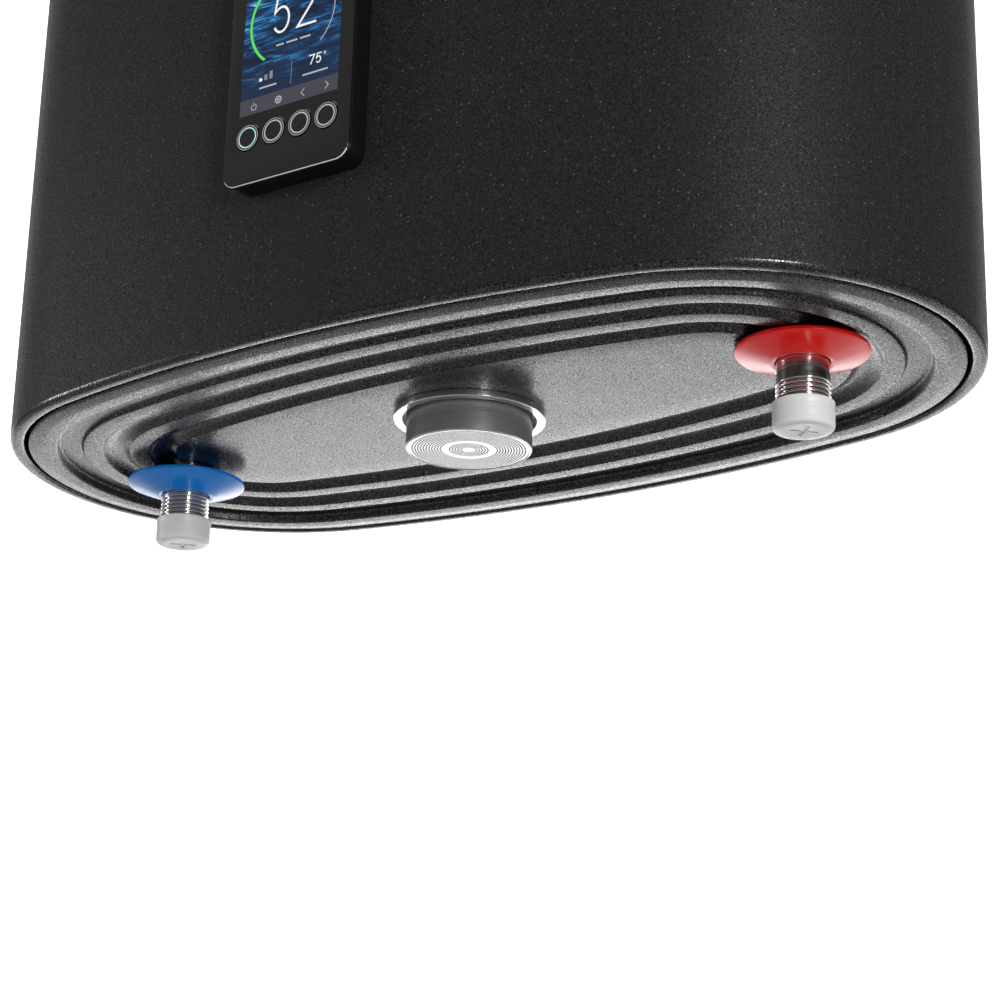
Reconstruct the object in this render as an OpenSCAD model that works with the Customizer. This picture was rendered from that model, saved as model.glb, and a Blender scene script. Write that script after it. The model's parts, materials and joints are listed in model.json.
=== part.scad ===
/* [Body] */
// Width of the body across its round ends
body_w = 435; // [360:5:560]
// Depth of the body, front to back
body_d = 234; // [210:2:300]
// Height of the body from rim to rim
body_h = 860; // [560:10:1100]
// How far the long sides bow out past the round ends
side_bow = 11; // [6:1:16]
// Thickness of the painted steel sheet
sheet_t = 1; // [0.8:0.1:1.5]
// Width of the rolled hem at each end of the shell
hem_w = 6.2; // [5:0.2:8]
// Height of the rolled hem
hem_h = 4; // [3.2:0.2:6]

/* [End caps] */
// Gap between the hem and the cap that sits inside it
cap_gap = 1.4; // [0.6:0.2:3]
// Thickness of the pressed caps
cap_t = 1.5; // [1:0.1:2]
// Width of the cap's outer flat
outer_flat_w = 12.3; // [8:0.5:16]
// Width of the square channel inside the outer flat
channel_w = 11.2; // [8:0.5:16]
// Width of each narrow flat between two grooves
narrow_flat_w = 8; // [5:0.5:12]
// Width of each shallow groove
groove_w = 11.8; // [8:0.5:14]
// Depth of each shallow groove
groove_depth = 3; // [2:0.5:4]
// Height of the square channel's ceiling above the lower rim
channel_z = 3.4; // [3:0.2:6]
// Heights of the cap's flats from its edge to its centre, above the lower rim
flat_z = [-0.2, 1.6, 2.2, 2.8]; // [-0.4:0.1:5]
// Height of the cap's skirt
skirt_h = 20; // [12:1:30]

/* [Tanks and foam] */
// Thickness of the foam around the tanks
foam_t = 19; // [15:1:30]
// Least gap between the two tanks
tank_gap = 6; // [4:1:12]
// Wall of the steel tanks
tank_t = 1.5; // [1:0.1:2.5]
// Radius of the domed tank ends
dome_r = 180; // [140:5:260]
// Height of the wiring space between the lower rim and the foam
wiring_h = 62; // [58:1:80]
// Height of the space above the foam
top_space = 45; // [30:1:80]

/* [Pipes] */
// Distance from the end of the body to a pipe's axis
pipe_inset = 65.8; // [58:0.2:75]
// Outer radius of the G 1/2 pipe thread
pipe_r = 10.48; // [8.3:0.01:13.3]
// Bore radius of the pipes
pipe_bore_r = 7; // [5:0.5:9]
// How far the pipes end below the lower rim
pipe_drop = 28.5; // [24:0.5:40]
// Length of the thread on the cold pipe
cold_thread_len = 18.5; // [12:0.1:19]
// Length of the thread on the hot pipe
hot_thread_len = 16.1; // [12:0.1:19]
// Radius of the coloured collars
collar_r = 25.7; // [18:0.1:32]
// Height of the cold collar's rim above the lower rim
cold_collar_z = -3.9; // [-6:0.1:0]
// Height of the hot collar's rim above the lower rim
hot_collar_z = -0.2; // [-3:0.1:0]
// How far the cold collar's cone reaches below the lower rim
cold_cone_drop = 8.8; // [2:0.2:12]
// How far the hot collar's cone reaches below the lower rim
hot_cone_drop = 3.8; // [2:0.2:12]
// Gap between a transport cap and the thread inside it
plug_fit = 0.67; // [0.3:0.01:1]
// Side wall of the transport caps
plug_t = 0.75; // [0.6:0.01:2]
// Height of the transport caps
plug_h = 11; // [8:0.5:14]
// Thickness of a transport cap's end
plug_end_t = 1.5; // [1:0.1:2.5]

/* [Tank flanges] */
// Radius of the flange plates
flange_r = 36; // [34:1:40]
// Thickness of the flange plates
flange_t = 3; // [2:0.5:5]
// Bore radius of the tank's neck
neck_bore_r = 25; // [23:0.5:26]
// Number of bolts in each flange
flange_bolts = 6; // [4:1:8]
// Length of the heating elements inside the tank
element_len = 260; // [150:10:400]
// Radius of the heating element's tube
element_r = 4; // [3:0.5:5]
// Radius of the anode rods
anode_r = 9; // [6:0.5:10]
// Length of the anode rods
anode_len = 220; // [100:10:350]

/* [Control panel] */
// Width of the control panel
panel_w = 60; // [56:1:90]
// Height of the control panel
panel_h = 117; // [110:1:160]
// Height of the panel's lower edge above the rim
panel_z = 59.4; // [50:0.5:200]
// How far the panel's face stands out from the body
panel_proud = 10.3; // [9:0.1:16]
// Rounding of the panel's corners
panel_corner_r = 6; // [3:0.5:9]
// Thickness of the panel's front glass
glass_t = 1.6; // [1:0.1:3]
// Wall of the panel's housing
housing_t = 2; // [1.5:0.1:3]
// Width of the display module
screen_w = 51; // [40:1:52]
// Height of the display module
screen_h = 75; // [60:1:76]
// Height of the display's lower edge above the panel's lower edge
screen_lift = 27.4; // [26:0.2:34]
// Radius of a button
button_r = 5.3; // [4:0.1:5.6]
// Space between two buttons
button_space = 1.95; // [1.4:0.05:3]
// Height of the buttons above the panel's lower edge
button_lift = 19.5; // [12:0.1:19.6]
// Travel of a button
button_travel = 0.8; // [0.3:0.1:0.9]
// Gap around a button in the glass
button_gap = 0.3; // [0.2:0.05:0.6]

/* [Knob] */
// Radius of the knob
knob_r = 25.9; // [20:0.1:30]
// How far the knob reaches below the lower rim
knob_drop = 12.8; // [8:0.2:20]
// Gap around the knob inside its ring
knob_gap = 1.7; // [0.5:0.1:2.5]
// Width of the ring around the knob, at the cap
bezel_rim_w = 3.7; // [2.5:0.1:8]
// Radius of the knob's shaft
shaft_r = 3; // [2:0.1:4]
// Radial clearance of the shaft in its bushing
shaft_gap = 0.05; // [0.02:0.01:0.1]

/* [Wall brackets] */
// Distance from the body's back to the wall
wall_gap = 16; // [12:1:30]
// Width of a bracket
bracket_w = 210; // [190:2:260]
// Height of a bracket
bracket_h = 36; // [30:1:50]
// Thickness of the bracket's steel
bracket_t = 3; // [2:0.5:4]
// Spacing of the two wall slots
slot_pitch = 160; // [140:5:220]
// Width of a wall slot
slot_w = 11; // [8:0.5:13]
// Length of a wall slot
slot_len = 25; // [15:1:35]
// Distance from the body's top to the upper bracket
upper_drop = 160; // [100:5:250]
// Height of the lower bracket above the lower rim
lower_rise = 200; // [120:5:260]

/* [Cable entry] */
// Height of the cable entry above the lower rim
gland_z = 36; // [30:1:50]
// Bore radius of the cable gland
gland_bore_r = 4.2; // [3:0.1:5.5]

/* [Hidden] */
$fn = 96;

// The gap left between pieces that are pressed or bonded together
seat_gap = 0.1;
// A cut runs this far past the faces it opens
past = 1;

// The body's plan is an oval of four arcs: two round ends and two long sides.
half_w = body_w / 2;
half_d = body_d / 2;
end_r = half_d - side_bow;
end_x = half_w - end_r;
tangent_r = (end_x * end_x + half_d * half_d - end_r * end_r) / (2 * (half_d - end_r));
// A little rounder than tangent, so that the arcs cross at a clear angle
side_r = 0.98 * tangent_r;
side_y = side_r - half_d;
join_angle = atan2(side_y, end_x);

// Insets of the cap's steps from the body's outer surface
cap_in = hem_w + cap_gap;
channel_in = cap_in + outer_flat_w;
flat1_in = channel_in + channel_w;
groove1_in = flat1_in + narrow_flat_w;
flat2_in = groove1_in + groove_w;
groove2_in = flat2_in + narrow_flat_w;
centre_in = groove2_in + groove_w;
centre_z = flat_z[3];
// The cap's levels as [inset where it starts, height of its underside], from edge to centre
cap_levels = [
    [cap_in, flat_z[0]], [channel_in, channel_z],
    [flat1_in, flat_z[1]], [groove1_in, flat_z[1] + groove_depth],
    [flat2_in, flat_z[2]], [groove2_in, flat_z[2] + groove_depth],
    [centre_in, centre_z]
];

// Tanks
tank_r = min(half_d - foam_t, (half_w - foam_t - tank_gap / 2) / 2);
tank_x = half_w - foam_t - tank_r;
foam_top = body_h - top_space;
tank_z0 = wiring_h + 6;
tank_z1 = foam_top - foam_t;
tank_h = tank_z1 - tank_z0;

// Pipes
pipe_x = half_w - pipe_inset;
pipe_hole_gap = 1;
neck_pipe_r = pipe_r - 0.3;
collar_top = min(flat_z[1], flat_z[2], centre_z);
collar_t = 1.8;
collar_boss_r = pipe_r + 4;
plug_r = pipe_r + plug_fit + plug_t;
plug_round = 2;
plug_z = -pipe_drop - plug_end_t - 1;
plug_cross = [10, 1.2, 0.5];
diffuser_seat = 8;
diffuser_h = 26;
inlet_top = tank_z0 + foam_t + 22;
transfer_r = 8;
transfer_bore_r = 6.8;
transfer_bend = 14;
transfer_z = tank_z1 - 70;
// Half the length of the cut for the level run between the tanks
transfer_cut_x = tank_x - tank_r + 25;

// Flanges
flange_pipe_gap = 4.5;
flange_x = pipe_x - pipe_r - flange_pipe_gap - flange_r;
neck_r = neck_bore_r + 3;
neck_z = wiring_h - 14;
// How far the neck's bore cuts up into the tank's domed end
neck_reach = 8;
ring_t = 3;
gasket_t = 2;
flange_top = neck_z - gasket_t;
flange_bottom = flange_top - flange_t;
bolt_circle_r = (neck_r + flange_r) / 2;
m6_r = 3;
m6_head = [10, 4];
m6_hole_gap = 0.2;
well_r = 3.5;
well_wall = 0.8;
well_at = [-14, 8];
anode_at = [5, 12];
element_at = [9, -10];
pin_r = 1.8;
pin_len = 9;

// Knob
bezel_bore_r = knob_r + knob_gap;
bezel_r = bezel_bore_r + bezel_rim_w;
bezel_sleeve_r = bezel_bore_r + 1.2;
bezel_floor_z = centre_z + 9;
bezel_floor_t = 2;
bushing_r = shaft_r + 1.5;
knob_top = centre_z + 3;
knob_wall = 6;
sleeve_t = 1;
knob_face_t = 1.2;
knob_web = 4;
face_groove = [0.8, 0.3];
nut_h = 2.4;
nut_across = 2 * bushing_r + 3;
encoder_size = [14, 13, 8];

// Panel
panel_front = -half_d - panel_proud;
glass_back = panel_front + glass_t;
panel_mid = panel_z + panel_h / 2;
housing_floor = 1.2;
module_t = 3.2;
board_t = 1.6;
module_front = glass_back + seat_gap;
board_front = module_front + module_t + 0.6;
board_edge = housing_t + 1;
button_z = panel_z + button_lift;
button_pitch = 2 * button_r + button_space;
button_row = [for (i = [-1.5 : 1 : 1.5]) i * button_pitch];
button_proud = 0.25;
button_rim = 0.6;
button_rim_t = 0.7;
stem_r = 1.5;
switch_w = 6;
switch_top = board_front - 2;
switch_gap = button_travel + 0.2;
window_w = 30;
window_z = [panel_z + 12, panel_z + 26];
screw_r = 1.5;
screw_head_r = 2.9;
screw_head_y = [-half_d - 3.2, -half_d - 1.4];
screw_inset = [6, 8];
screw_x = panel_w / 2 - screw_inset[0];
screws = [
    for (x = [-screw_x, screw_x], z = [panel_z + screw_inset[1], panel_z + panel_h - screw_inset[1]])
        [x, z]
];
lead_w = 14;
lead_t = 1;

// Wall brackets
wall_y = half_d + wall_gap;
upper_z = body_h - upper_drop;
lower_z = lower_rise;
leg_x = 44;
foot_w = 22;
foot_seat = 8;
foot_bolt_x = leg_x + foot_w / 2 + bracket_t / 2;
foot_bolts = [for (x = [-foot_bolt_x, foot_bolt_x], z = [lower_z, upper_z]) [x, z]];
bolt_end_y = half_d - 12;

// Board tray
tray_size = [104, 110];
tray_z = 30;
tray_t = 2;
tray_post = [4, 5];
board_post = [3, 18, 14];
board_lift = 4;
board_z = tray_z + tray_t + board_lift;
board_top = board_z + board_t;

// Cable entry
gland_neck_r = gland_bore_r + 4;
gland_rim_r = gland_bore_r + 6;
gland_end_r = gland_bore_r + 3;
gland_y = [half_d - 12, half_d + 12];
gland_nut_t = 4.5;
// Clears the inside of the shell, which curves towards the nut's corners
nut_gap = 0.4;

// ---------- frames and oval shapes ----------

// Puts the body where the upper bracket's wall face is the origin.
module place() translate([0, -wall_y, -upper_z]) children();

// Turns a bottom piece into its mirror image at the top of the body.
module upside_down() translate([0, 0, body_h]) mirror([0, 0, 1]) children();

// A solid with the body's oval plan, drawn in by an inset, from z0 to z1.
module oval(inset, z0, z1) {
    join_x = end_x + (end_r - inset) * cos(join_angle);
    for (s = [-1, 1]) translate([s * end_x, 0, z0])
        cylinder(r = end_r - inset, h = z1 - z0, $fn = 240);
    intersection() {
        translate([-join_x, -half_d, z0]) cube([2 * join_x, 2 * half_d, z1 - z0]);
        translate([0, side_y, z0]) cylinder(r = side_r - inset, h = z1 - z0, $fn = 1440);
        translate([0, -side_y, z0]) cylinder(r = side_r - inset, h = z1 - z0, $fn = 1440);
    }
}

module oval_ring(inset, inner_inset, z0, z1) difference() {
    oval(inset, z0, z1);
    oval(inner_inset, z0 - past, z1 + past);
}

module ring(r_out, r_in, h) difference() {
    cylinder(r = r_out, h = h);
    translate([0, 0, -past]) cylinder(r = r_in, h = h + 2 * past);
}

// A plate in the panel's plane with rounded corners, from y0 back to y1.
module panel_plate(w, z0, z1, r, y0, y1) {
    translate([-w / 2 + r, y0, z0]) cube([w - 2 * r, y1 - y0, z1 - z0]);
    translate([-w / 2, y0, z0 + r]) cube([w, y1 - y0, z1 - z0 - 2 * r]);
    for (x = [-w / 2 + r, w / 2 - r], z = [z0 + r, z1 - r])
        translate([x, y0, z]) rotate([-90, 0, 0]) cylinder(r = r, h = y1 - y0);
}

// The space inside the shell's front (s = -1) or back (s = 1), to cut a piece that seats on it.
module inside_side(s, gap, w) {
    a = asin(w / side_r);
    curve = [
        for (t = [90 - a : a / 12 : 90 + a + a / 24])
        [(side_r + gap) * cos(t), s * ((side_r + gap) * sin(t) - side_y)]
    ];
    translate([0, 0, -body_h]) linear_extrude(3 * body_h)
        polygon(concat(curve, [[-w, 0], [w, 0]]));
}

// A round bar or bore along Y through the point p = [x, z].
module y_bore(p, r, y0, y1)
    translate([p[0], y0, p[1]]) rotate([-90, 0, 0]) cylinder(r = r, h = y1 - y0);

module hex(across, h) cylinder(r = across / sqrt(3), h = h, $fn = 6);

// ---------- body ----------

module outer_shell() place() color([0.13, 0.13, 0.14]) difference() {
    oval(0, 0, body_h);
    oval(sheet_t, hem_h, body_h - hem_h);
    oval(hem_w, -past, body_h + past);
    translate([-window_w / 2, -half_d - past, window_z[0]])
        cube([window_w, 6 * sheet_t, window_z[1] - window_z[0]]);
    y_bore([0, gland_z], gland_neck_r + seat_gap, gland_y[0], half_d + past);
    for (p = foot_bolts) y_bore(p, m6_r + m6_hole_gap, bolt_end_y, half_d + past);
    for (p = screws) y_bore(p, screw_r + m6_hole_gap, -half_d - past, -half_d + 5);
}

// The pressed cap: a skirt, and flats and grooves that step from its edge to its centre.
module pressed_cap() {
    oval_ring(cap_in, cap_in + cap_t, flat_z[0], skirt_h);
    oval_ring(sheet_t + seat_gap, cap_in + cap_t, skirt_h - cap_t, skirt_h);
    for (i = [0 : len(cap_levels) - 2]) {
        x = [cap_levels[i][0], cap_levels[i + 1][0]];
        z = [cap_levels[i][1], cap_levels[i + 1][1]];
        oval_ring(x[0], x[1], z[0], z[0] + cap_t);
        if (z[1] > z[0]) oval_ring(x[1] - cap_t, x[1], z[0], z[1] + cap_t);
        else oval_ring(x[1], x[1] + cap_t, z[1], z[0] + cap_t);
    }
    oval(centre_in, centre_z, centre_z + cap_t);
}

module top_cap() place() color([0.14, 0.14, 0.15]) upside_down() pressed_cap();

module bottom_cap() place() color([0.14, 0.14, 0.15]) difference() {
    pressed_cap();
    for (s = [-1, 1]) translate([s * pipe_x, 0, -past])
        cylinder(r = pipe_r + pipe_hole_gap, h = skirt_h);
    translate([0, 0, -past]) cylinder(r = bezel_sleeve_r + seat_gap, h = skirt_h);
}

module foam_insulation() place() color([0.87, 0.8, 0.55]) difference() {
    oval(sheet_t + seat_gap, wiring_h, foam_top);
    for (s = [-1, 1]) {
        translate([s * tank_x, 0, tank_z0 - seat_gap])
            cylinder(r = tank_r + seat_gap, h = tank_h + 2 * seat_gap);
        translate([s * pipe_x, 0, wiring_h - past])
            cylinder(r = pipe_r + pipe_hole_gap, h = foam_t);
        translate([s * flange_x, 0, wiring_h - past]) cylinder(r = neck_r + 1, h = foam_t);
    }
    translate([-window_w / 2, -half_d, wiring_h - past])
        cube([window_w, 12, window_z[1] - wiring_h + 2 * past]);
    translate([-transfer_cut_x, 0, transfer_z]) rotate([0, 90, 0])
        cylinder(r = transfer_r + seat_gap, h = 2 * transfer_cut_x);
    for (p = foot_bolts) y_bore(p, 2 * m6_r, bolt_end_y - 2, half_d + past);
    for (p = screws) y_bore(p, screw_head_r + 1, -half_d - past, -half_d + 10);
}

// ---------- tanks and pipes ----------

// Half of a domed tank's section, shrunk by an inset.
module tank_section(inset) intersection() {
    square([tank_r - inset, tank_h]);
    union() {
        translate([0, dome_r]) circle(r = dome_r - inset);
        translate([0, dome_r]) square([tank_r, tank_h]);
    }
    union() {
        translate([0, tank_h - dome_r]) circle(r = dome_r - inset);
        translate([0, -dome_r]) square([tank_r, tank_h]);
    }
}

// side is -1 for the cold tank on the left and 1 for the hot tank on the right.
module tank(side) place() color([0.72, 0.73, 0.75]) difference() {
    union() {
        translate([side * tank_x, 0, tank_z0]) rotate_extrude() tank_section(0);
        translate([side * flange_x, 0, neck_z]) cylinder(r = neck_r, h = tank_z0 + foam_t - neck_z);
        translate([side * flange_x, 0, neck_z]) cylinder(r = flange_r, h = ring_t);
    }
    translate([side * tank_x, 0, tank_z0]) rotate_extrude() tank_section(tank_t);
    translate([side * flange_x, 0, neck_z - past])
        cylinder(r = neck_bore_r, h = tank_z0 - neck_z + neck_reach);
    translate([side * pipe_x, 0, tank_z0 - past])
        cylinder(r = neck_pipe_r + seat_gap / 2, h = foam_t + tank_r / 2);
    translate([-transfer_cut_x, 0, transfer_z]) rotate([0, 90, 0])
        cylinder(r = transfer_r + seat_gap / 2, h = 2 * transfer_cut_x);
    translate([side * flange_x, 0, neck_z - past]) bolt_ring()
        cylinder(r = m6_r, h = ring_t + 2 * past);
}

module bolt_ring() for (i = [0 : flange_bolts - 1])
    rotate([0, 0, (i + 0.5) * 360 / flange_bolts]) translate([bolt_circle_r, 0, 0]) children();

// Takes water from the top of the cold tank to the bottom of the hot one.
module transfer_pipe() place() color([0.75, 0.76, 0.78]) difference() {
    transfer_path(transfer_r, 0);
    transfer_path(transfer_bore_r, past);
}

module transfer_path(r, extra) {
    level = tank_x - tank_r + 10;
    bottom = tank_z0 + 60;
    translate([-level - extra, 0, transfer_z]) rotate([0, 90, 0])
        cylinder(r = r, h = 2 * level + extra);
    translate([level, 0, transfer_z - transfer_bend]) rotate([90, 0, 0])
        rotate_extrude(angle = 90) translate([transfer_bend, 0]) circle(r = r);
    translate([level + transfer_bend, 0, bottom - extra])
        cylinder(r = r, h = transfer_z - transfer_bend - bottom + extra);
}

// The pipe's end, threaded below its plain neck, which reaches up into the tank.
module pipe_stub(thread_len) {
    cylinder(r = pipe_r, h = thread_len);
    cylinder(r = neck_pipe_r, h = inlet_top + pipe_drop);
}

module cold_inlet_pipe() place() color([0.78, 0.79, 0.8]) translate([-pipe_x, 0, -pipe_drop])
    difference() {
        pipe_stub(cold_thread_len);
        translate([0, 0, -past]) cylinder(r = pipe_bore_r, h = inlet_top + pipe_drop + 2 * past);
    }

module inlet_diffuser() place() color([0.93, 0.93, 0.9])
    translate([-pipe_x, 0, inlet_top - diffuser_seat]) difference() {
        cylinder(r = pipe_r + 2.5, h = diffuser_h);
        translate([0, 0, -past])
            cylinder(r = neck_pipe_r + seat_gap / 2, h = diffuser_seat + past);
        translate([0, 0, diffuser_seat - past])
            cylinder(r = pipe_bore_r, h = diffuser_h - diffuser_seat - 2 + past);
        for (a = [0, 60, 120]) rotate([0, 0, a]) translate([-2 * pipe_r, -2.5, diffuser_seat + 3])
            cube([4 * pipe_r, 5, 10]);
    }

module hot_outlet_pipe() place() color([0.78, 0.79, 0.8]) translate([pipe_x, 0, -pipe_drop])
    difference() {
        union() {
            pipe_stub(hot_thread_len);
            cylinder(r = transfer_r, h = tank_z1 - 40 + pipe_drop);
        }
        translate([0, 0, -past]) cylinder(r = transfer_bore_r, h = tank_z1 + 2 * pipe_drop);
    }

// The collar seats on the lowest flat that it crosses and narrows to the pipe.
// A cone round a pipe. Where its rim hangs below the cap, a boss above it reaches the cap.
module collar(side, rim, drop, tint) place() color(tint) translate([side * pipe_x, 0, 0]) {
    rim_top = min(rim + collar_t, collar_top);
    boss = rim_top < collar_top
        ? [[collar_boss_r, rim_top], [collar_boss_r, collar_top]]
        : [];
    rotate_extrude() polygon(concat(
        [
            [pipe_r + seat_gap, -drop],
            [pipe_r + 1.4, -drop],
            [collar_r - 1, rim - 0.2],
            [collar_r, rim + 0.6],
            [collar_r, rim_top]
        ],
        boss,
        [[pipe_r + seat_gap, collar_top]]
    ));
}

module cold_collar() collar(-1, cold_collar_z, cold_cone_drop, [0.05, 0.35, 0.75]);
module hot_collar() collar(1, hot_collar_z, hot_cone_drop, [0.85, 0.1, 0.08]);

// A cap that keeps the thread clean until the pipes are joined.
module transport_cap(side) place() color([0.9, 0.91, 0.9, 0.8])
    translate([side * pipe_x, 0, plug_z]) difference() {
        union() {
            translate([0, 0, plug_round]) cylinder(r = plug_r, h = plug_h - plug_round);
            cylinder(r = plug_r - plug_round, h = plug_round + past);
            translate([0, 0, plug_round]) rotate_extrude()
                translate([plug_r - plug_round, 0]) circle(r = plug_round);
        }
        translate([0, 0, plug_end_t]) cylinder(r = pipe_r + plug_fit, h = plug_h);
        for (a = [0, 90]) rotate([0, 0, a])
            translate([-plug_cross[0] / 2, -plug_cross[1] / 2, -past])
                cube([plug_cross[0], plug_cross[1], past + plug_cross[2]]);
    }

module cold_transport_cap() transport_cap(-1);
module hot_transport_cap() transport_cap(1);

// ---------- flanges ----------

module at_flange(side, z) place() translate([side * flange_x, 0, z]) children();

// Places a child at a point on the flange, mirrored from side to side.
module on_flange(side, p) translate([side * p[0], p[1], 0]) children();

module flange(side) at_flange(side, flange_bottom) color([0.7, 0.7, 0.68]) difference() {
    cylinder(r = flange_r, h = flange_t);
    translate([0, 0, -past]) {
        bolt_ring() cylinder(r = m6_r + m6_hole_gap, h = flange_t + 2 * past);
        on_flange(side, well_at) cylinder(r = well_r + seat_gap / 2, h = flange_t + 2 * past);
        on_flange(side, anode_at) cylinder(r = m6_r, h = flange_t + 2 * past);
        for (s = [-1, 1]) translate([s * element_at[0], element_at[1], 0])
            cylinder(r = element_r + seat_gap / 2, h = flange_t + 2 * past);
    }
}

module flange_gasket(side) at_flange(side, flange_top) color([0.15, 0.15, 0.15])
    ring(neck_r, neck_bore_r, gasket_t);

module heating_element(side) at_flange(side, flange_bottom - 2) color([0.6, 0.42, 0.28]) {
    translate([0, element_at[1], 0]) {
        for (s = [-1, 1]) translate([s * element_at[0], 0, 0]) {
            cylinder(r = element_r, h = element_len - element_at[0]);
            translate([0, 0, -pin_len]) cylinder(r = pin_r, h = pin_len + past);
        }
        translate([0, 0, element_len - element_at[0]]) rotate([90, 0, 0])
            rotate_extrude(angle = 180) translate([element_at[0], 0]) circle(r = element_r);
    }
}

module anode_rod(side) at_flange(side, flange_bottom) color([0.66, 0.67, 0.68])
    on_flange(side, anode_at) {
        translate([0, 0, flange_t]) cylinder(r = anode_r, h = anode_len);
        translate([0, 0, -8]) cylinder(r = m6_r - seat_gap / 2, h = flange_t + 10);
        translate([0, 0, -m6_head[1] - seat_gap]) hex(m6_head[0], m6_head[1]);
    }

// A closed tube that keeps the sensor dry.
module thermowell(side) at_flange(side, flange_bottom - 2) color([0.72, 0.6, 0.42])
    on_flange(side, well_at) difference() {
        cylinder(r = well_r, h = element_len);
        translate([0, 0, -past]) cylinder(r = well_r - well_wall, h = element_len + past - 1);
    }

module temperature_sensor(side) at_flange(side, flange_bottom - 2) color([0.85, 0.85, 0.85])
    on_flange(side, well_at) {
        translate([0, 0, element_len - 42]) cylinder(r = well_r - well_wall - 0.2, h = 40);
        translate([0, 0, -8]) cylinder(r = 1, h = element_len - 30);
    }

module flange_bolt_set(side) at_flange(side, flange_bottom) color([0.8, 0.8, 0.78])
    bolt_ring() {
        translate([0, 0, -m6_head[1]]) hex(m6_head[0], m6_head[1]);
        translate([0, 0, -past])
            cylinder(r = m6_r - seat_gap / 2, h = flange_t + gasket_t + ring_t + past);
    }

module thermal_cutout() place() color([0.1, 0.1, 0.1])
    translate([flange_x - flange_r - 7, 38, wiring_h - 12]) {
        cylinder(r = 8, h = 12);
        translate([-3, -6, -4]) cube([1, 12, 5]);
        translate([3, -6, -4]) cube([1, 12, 5]);
    }

// ---------- electronics ----------

module board_tray() place() color([0.2, 0.2, 0.22]) difference() {
    union() {
        translate([-tray_size[0] / 2, -tray_size[1] / 2, tray_z])
            cube([tray_size[0], tray_size[1], tray_t]);
        for (x = [-1, 1], y = [-1, 1])
            tray_corner(x, y, [tray_post[1], tray_post[1]])
                cylinder(r = tray_post[0], h = wiring_h - tray_z);
        for (x = [-1, 1], y = [-1, 1])
            tray_corner(x, y, [board_post[1], board_post[2]])
                cylinder(r = board_post[0], h = tray_t + board_lift);
    }
    translate([-20, -20, tray_z - past]) cube([40, 40, tray_t + 2 * past]);
}

module tray_corner(x, y, inset)
    translate([x * (tray_size[0] / 2 - inset[0]), y * (tray_size[1] / 2 - inset[1]), tray_z])
        children();

module power_board() place() color([0.1, 0.4, 0.2])
    translate([-tray_size[0] / 2 + 11, -tray_size[1] / 2 + 8, board_z])
        cube([tray_size[0] - 22, tray_size[1] - 16, board_t]);

module relays() place() color([0.1, 0.25, 0.6])
    for (x = [-24, 4]) translate([x, -30, board_top]) cube([20, 16, 15]);

module terminal_block() place() color([0.1, 0.5, 0.25]) difference() {
    translate([-25, 20, board_top]) cube([50, 16, 12]);
    for (i = [-2 : 2]) y_bore([10 * i, board_top + 4], 2, 20 - past, 31);
}

// ---------- knob ----------

module knob_bezel() place() color([0.22, 0.22, 0.23]) difference() {
    union() {
        translate([0, 0, flat_z[0]])
            cylinder(r1 = bezel_r - 0.8, r2 = bezel_r, h = centre_z - flat_z[0]);
        translate([0, 0, flat_z[0]])
            cylinder(r = bezel_sleeve_r, h = bezel_floor_z + bezel_floor_t - flat_z[0]);
    }
    translate([0, 0, flat_z[0] - past])
        cylinder(r = bezel_bore_r, h = bezel_floor_z - flat_z[0] + past);
    cylinder(r = bushing_r + seat_gap / 2, h = bezel_floor_z + 2 * bezel_floor_t);
}

module knob_core() place() color([0.12, 0.12, 0.12]) difference() {
    translate([0, 0, -knob_drop + knob_face_t])
        cylinder(r = knob_r - sleeve_t, h = knob_top + knob_drop - knob_face_t);
    cylinder(r = knob_r - knob_wall, h = knob_top + past);
    translate([0, 0, -knob_drop + knob_web]) cylinder(r = shaft_r, h = knob_drop + past);
}

module knob_sleeve() place() color([0.3, 0.3, 0.31])
    translate([0, 0, -knob_drop]) ring(knob_r, knob_r - sleeve_t, knob_top + knob_drop);

// The end of the knob, with plain turned rings.
module knob_face() place() color([0.7, 0.7, 0.71]) translate([0, 0, -knob_drop]) difference() {
    cylinder(r = knob_r - sleeve_t, h = knob_face_t);
    for (r = [6 : 3 : knob_r - 4]) translate([0, 0, -past])
        ring(r + face_groove[0], r, past + face_groove[1]);
}

module knob_shaft() place() color([0.75, 0.75, 0.75])
    translate([0, 0, -knob_drop + knob_web]) cylinder(
        r = shaft_r,
        h = bezel_floor_z + bezel_floor_t + encoder_size[2] + knob_drop - knob_web
    );

module encoder_bushing() place() color([0.8, 0.7, 0.4])
    translate([0, 0, bezel_floor_z - 3]) ring(bushing_r, shaft_r + shaft_gap, bezel_floor_t + 3);

module encoder_nut() place() color([0.8, 0.8, 0.8])
    translate([0, 0, bezel_floor_z - nut_h]) difference() {
        hex(nut_across, nut_h);
        translate([0, 0, -past]) cylinder(r = bushing_r + seat_gap / 2, h = nut_h + 2 * past);
    }

module encoder_body() place() color([0.15, 0.35, 0.2])
    translate([0, 0, bezel_floor_z + bezel_floor_t]) difference() {
        translate([-encoder_size[0] / 2, -encoder_size[1] / 2, 0]) cube(encoder_size);
        translate([0, 0, -past]) cylinder(r = shaft_r + shaft_gap, h = encoder_size[2] + past + 0.5);
    }

// ---------- control panel ----------

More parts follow.
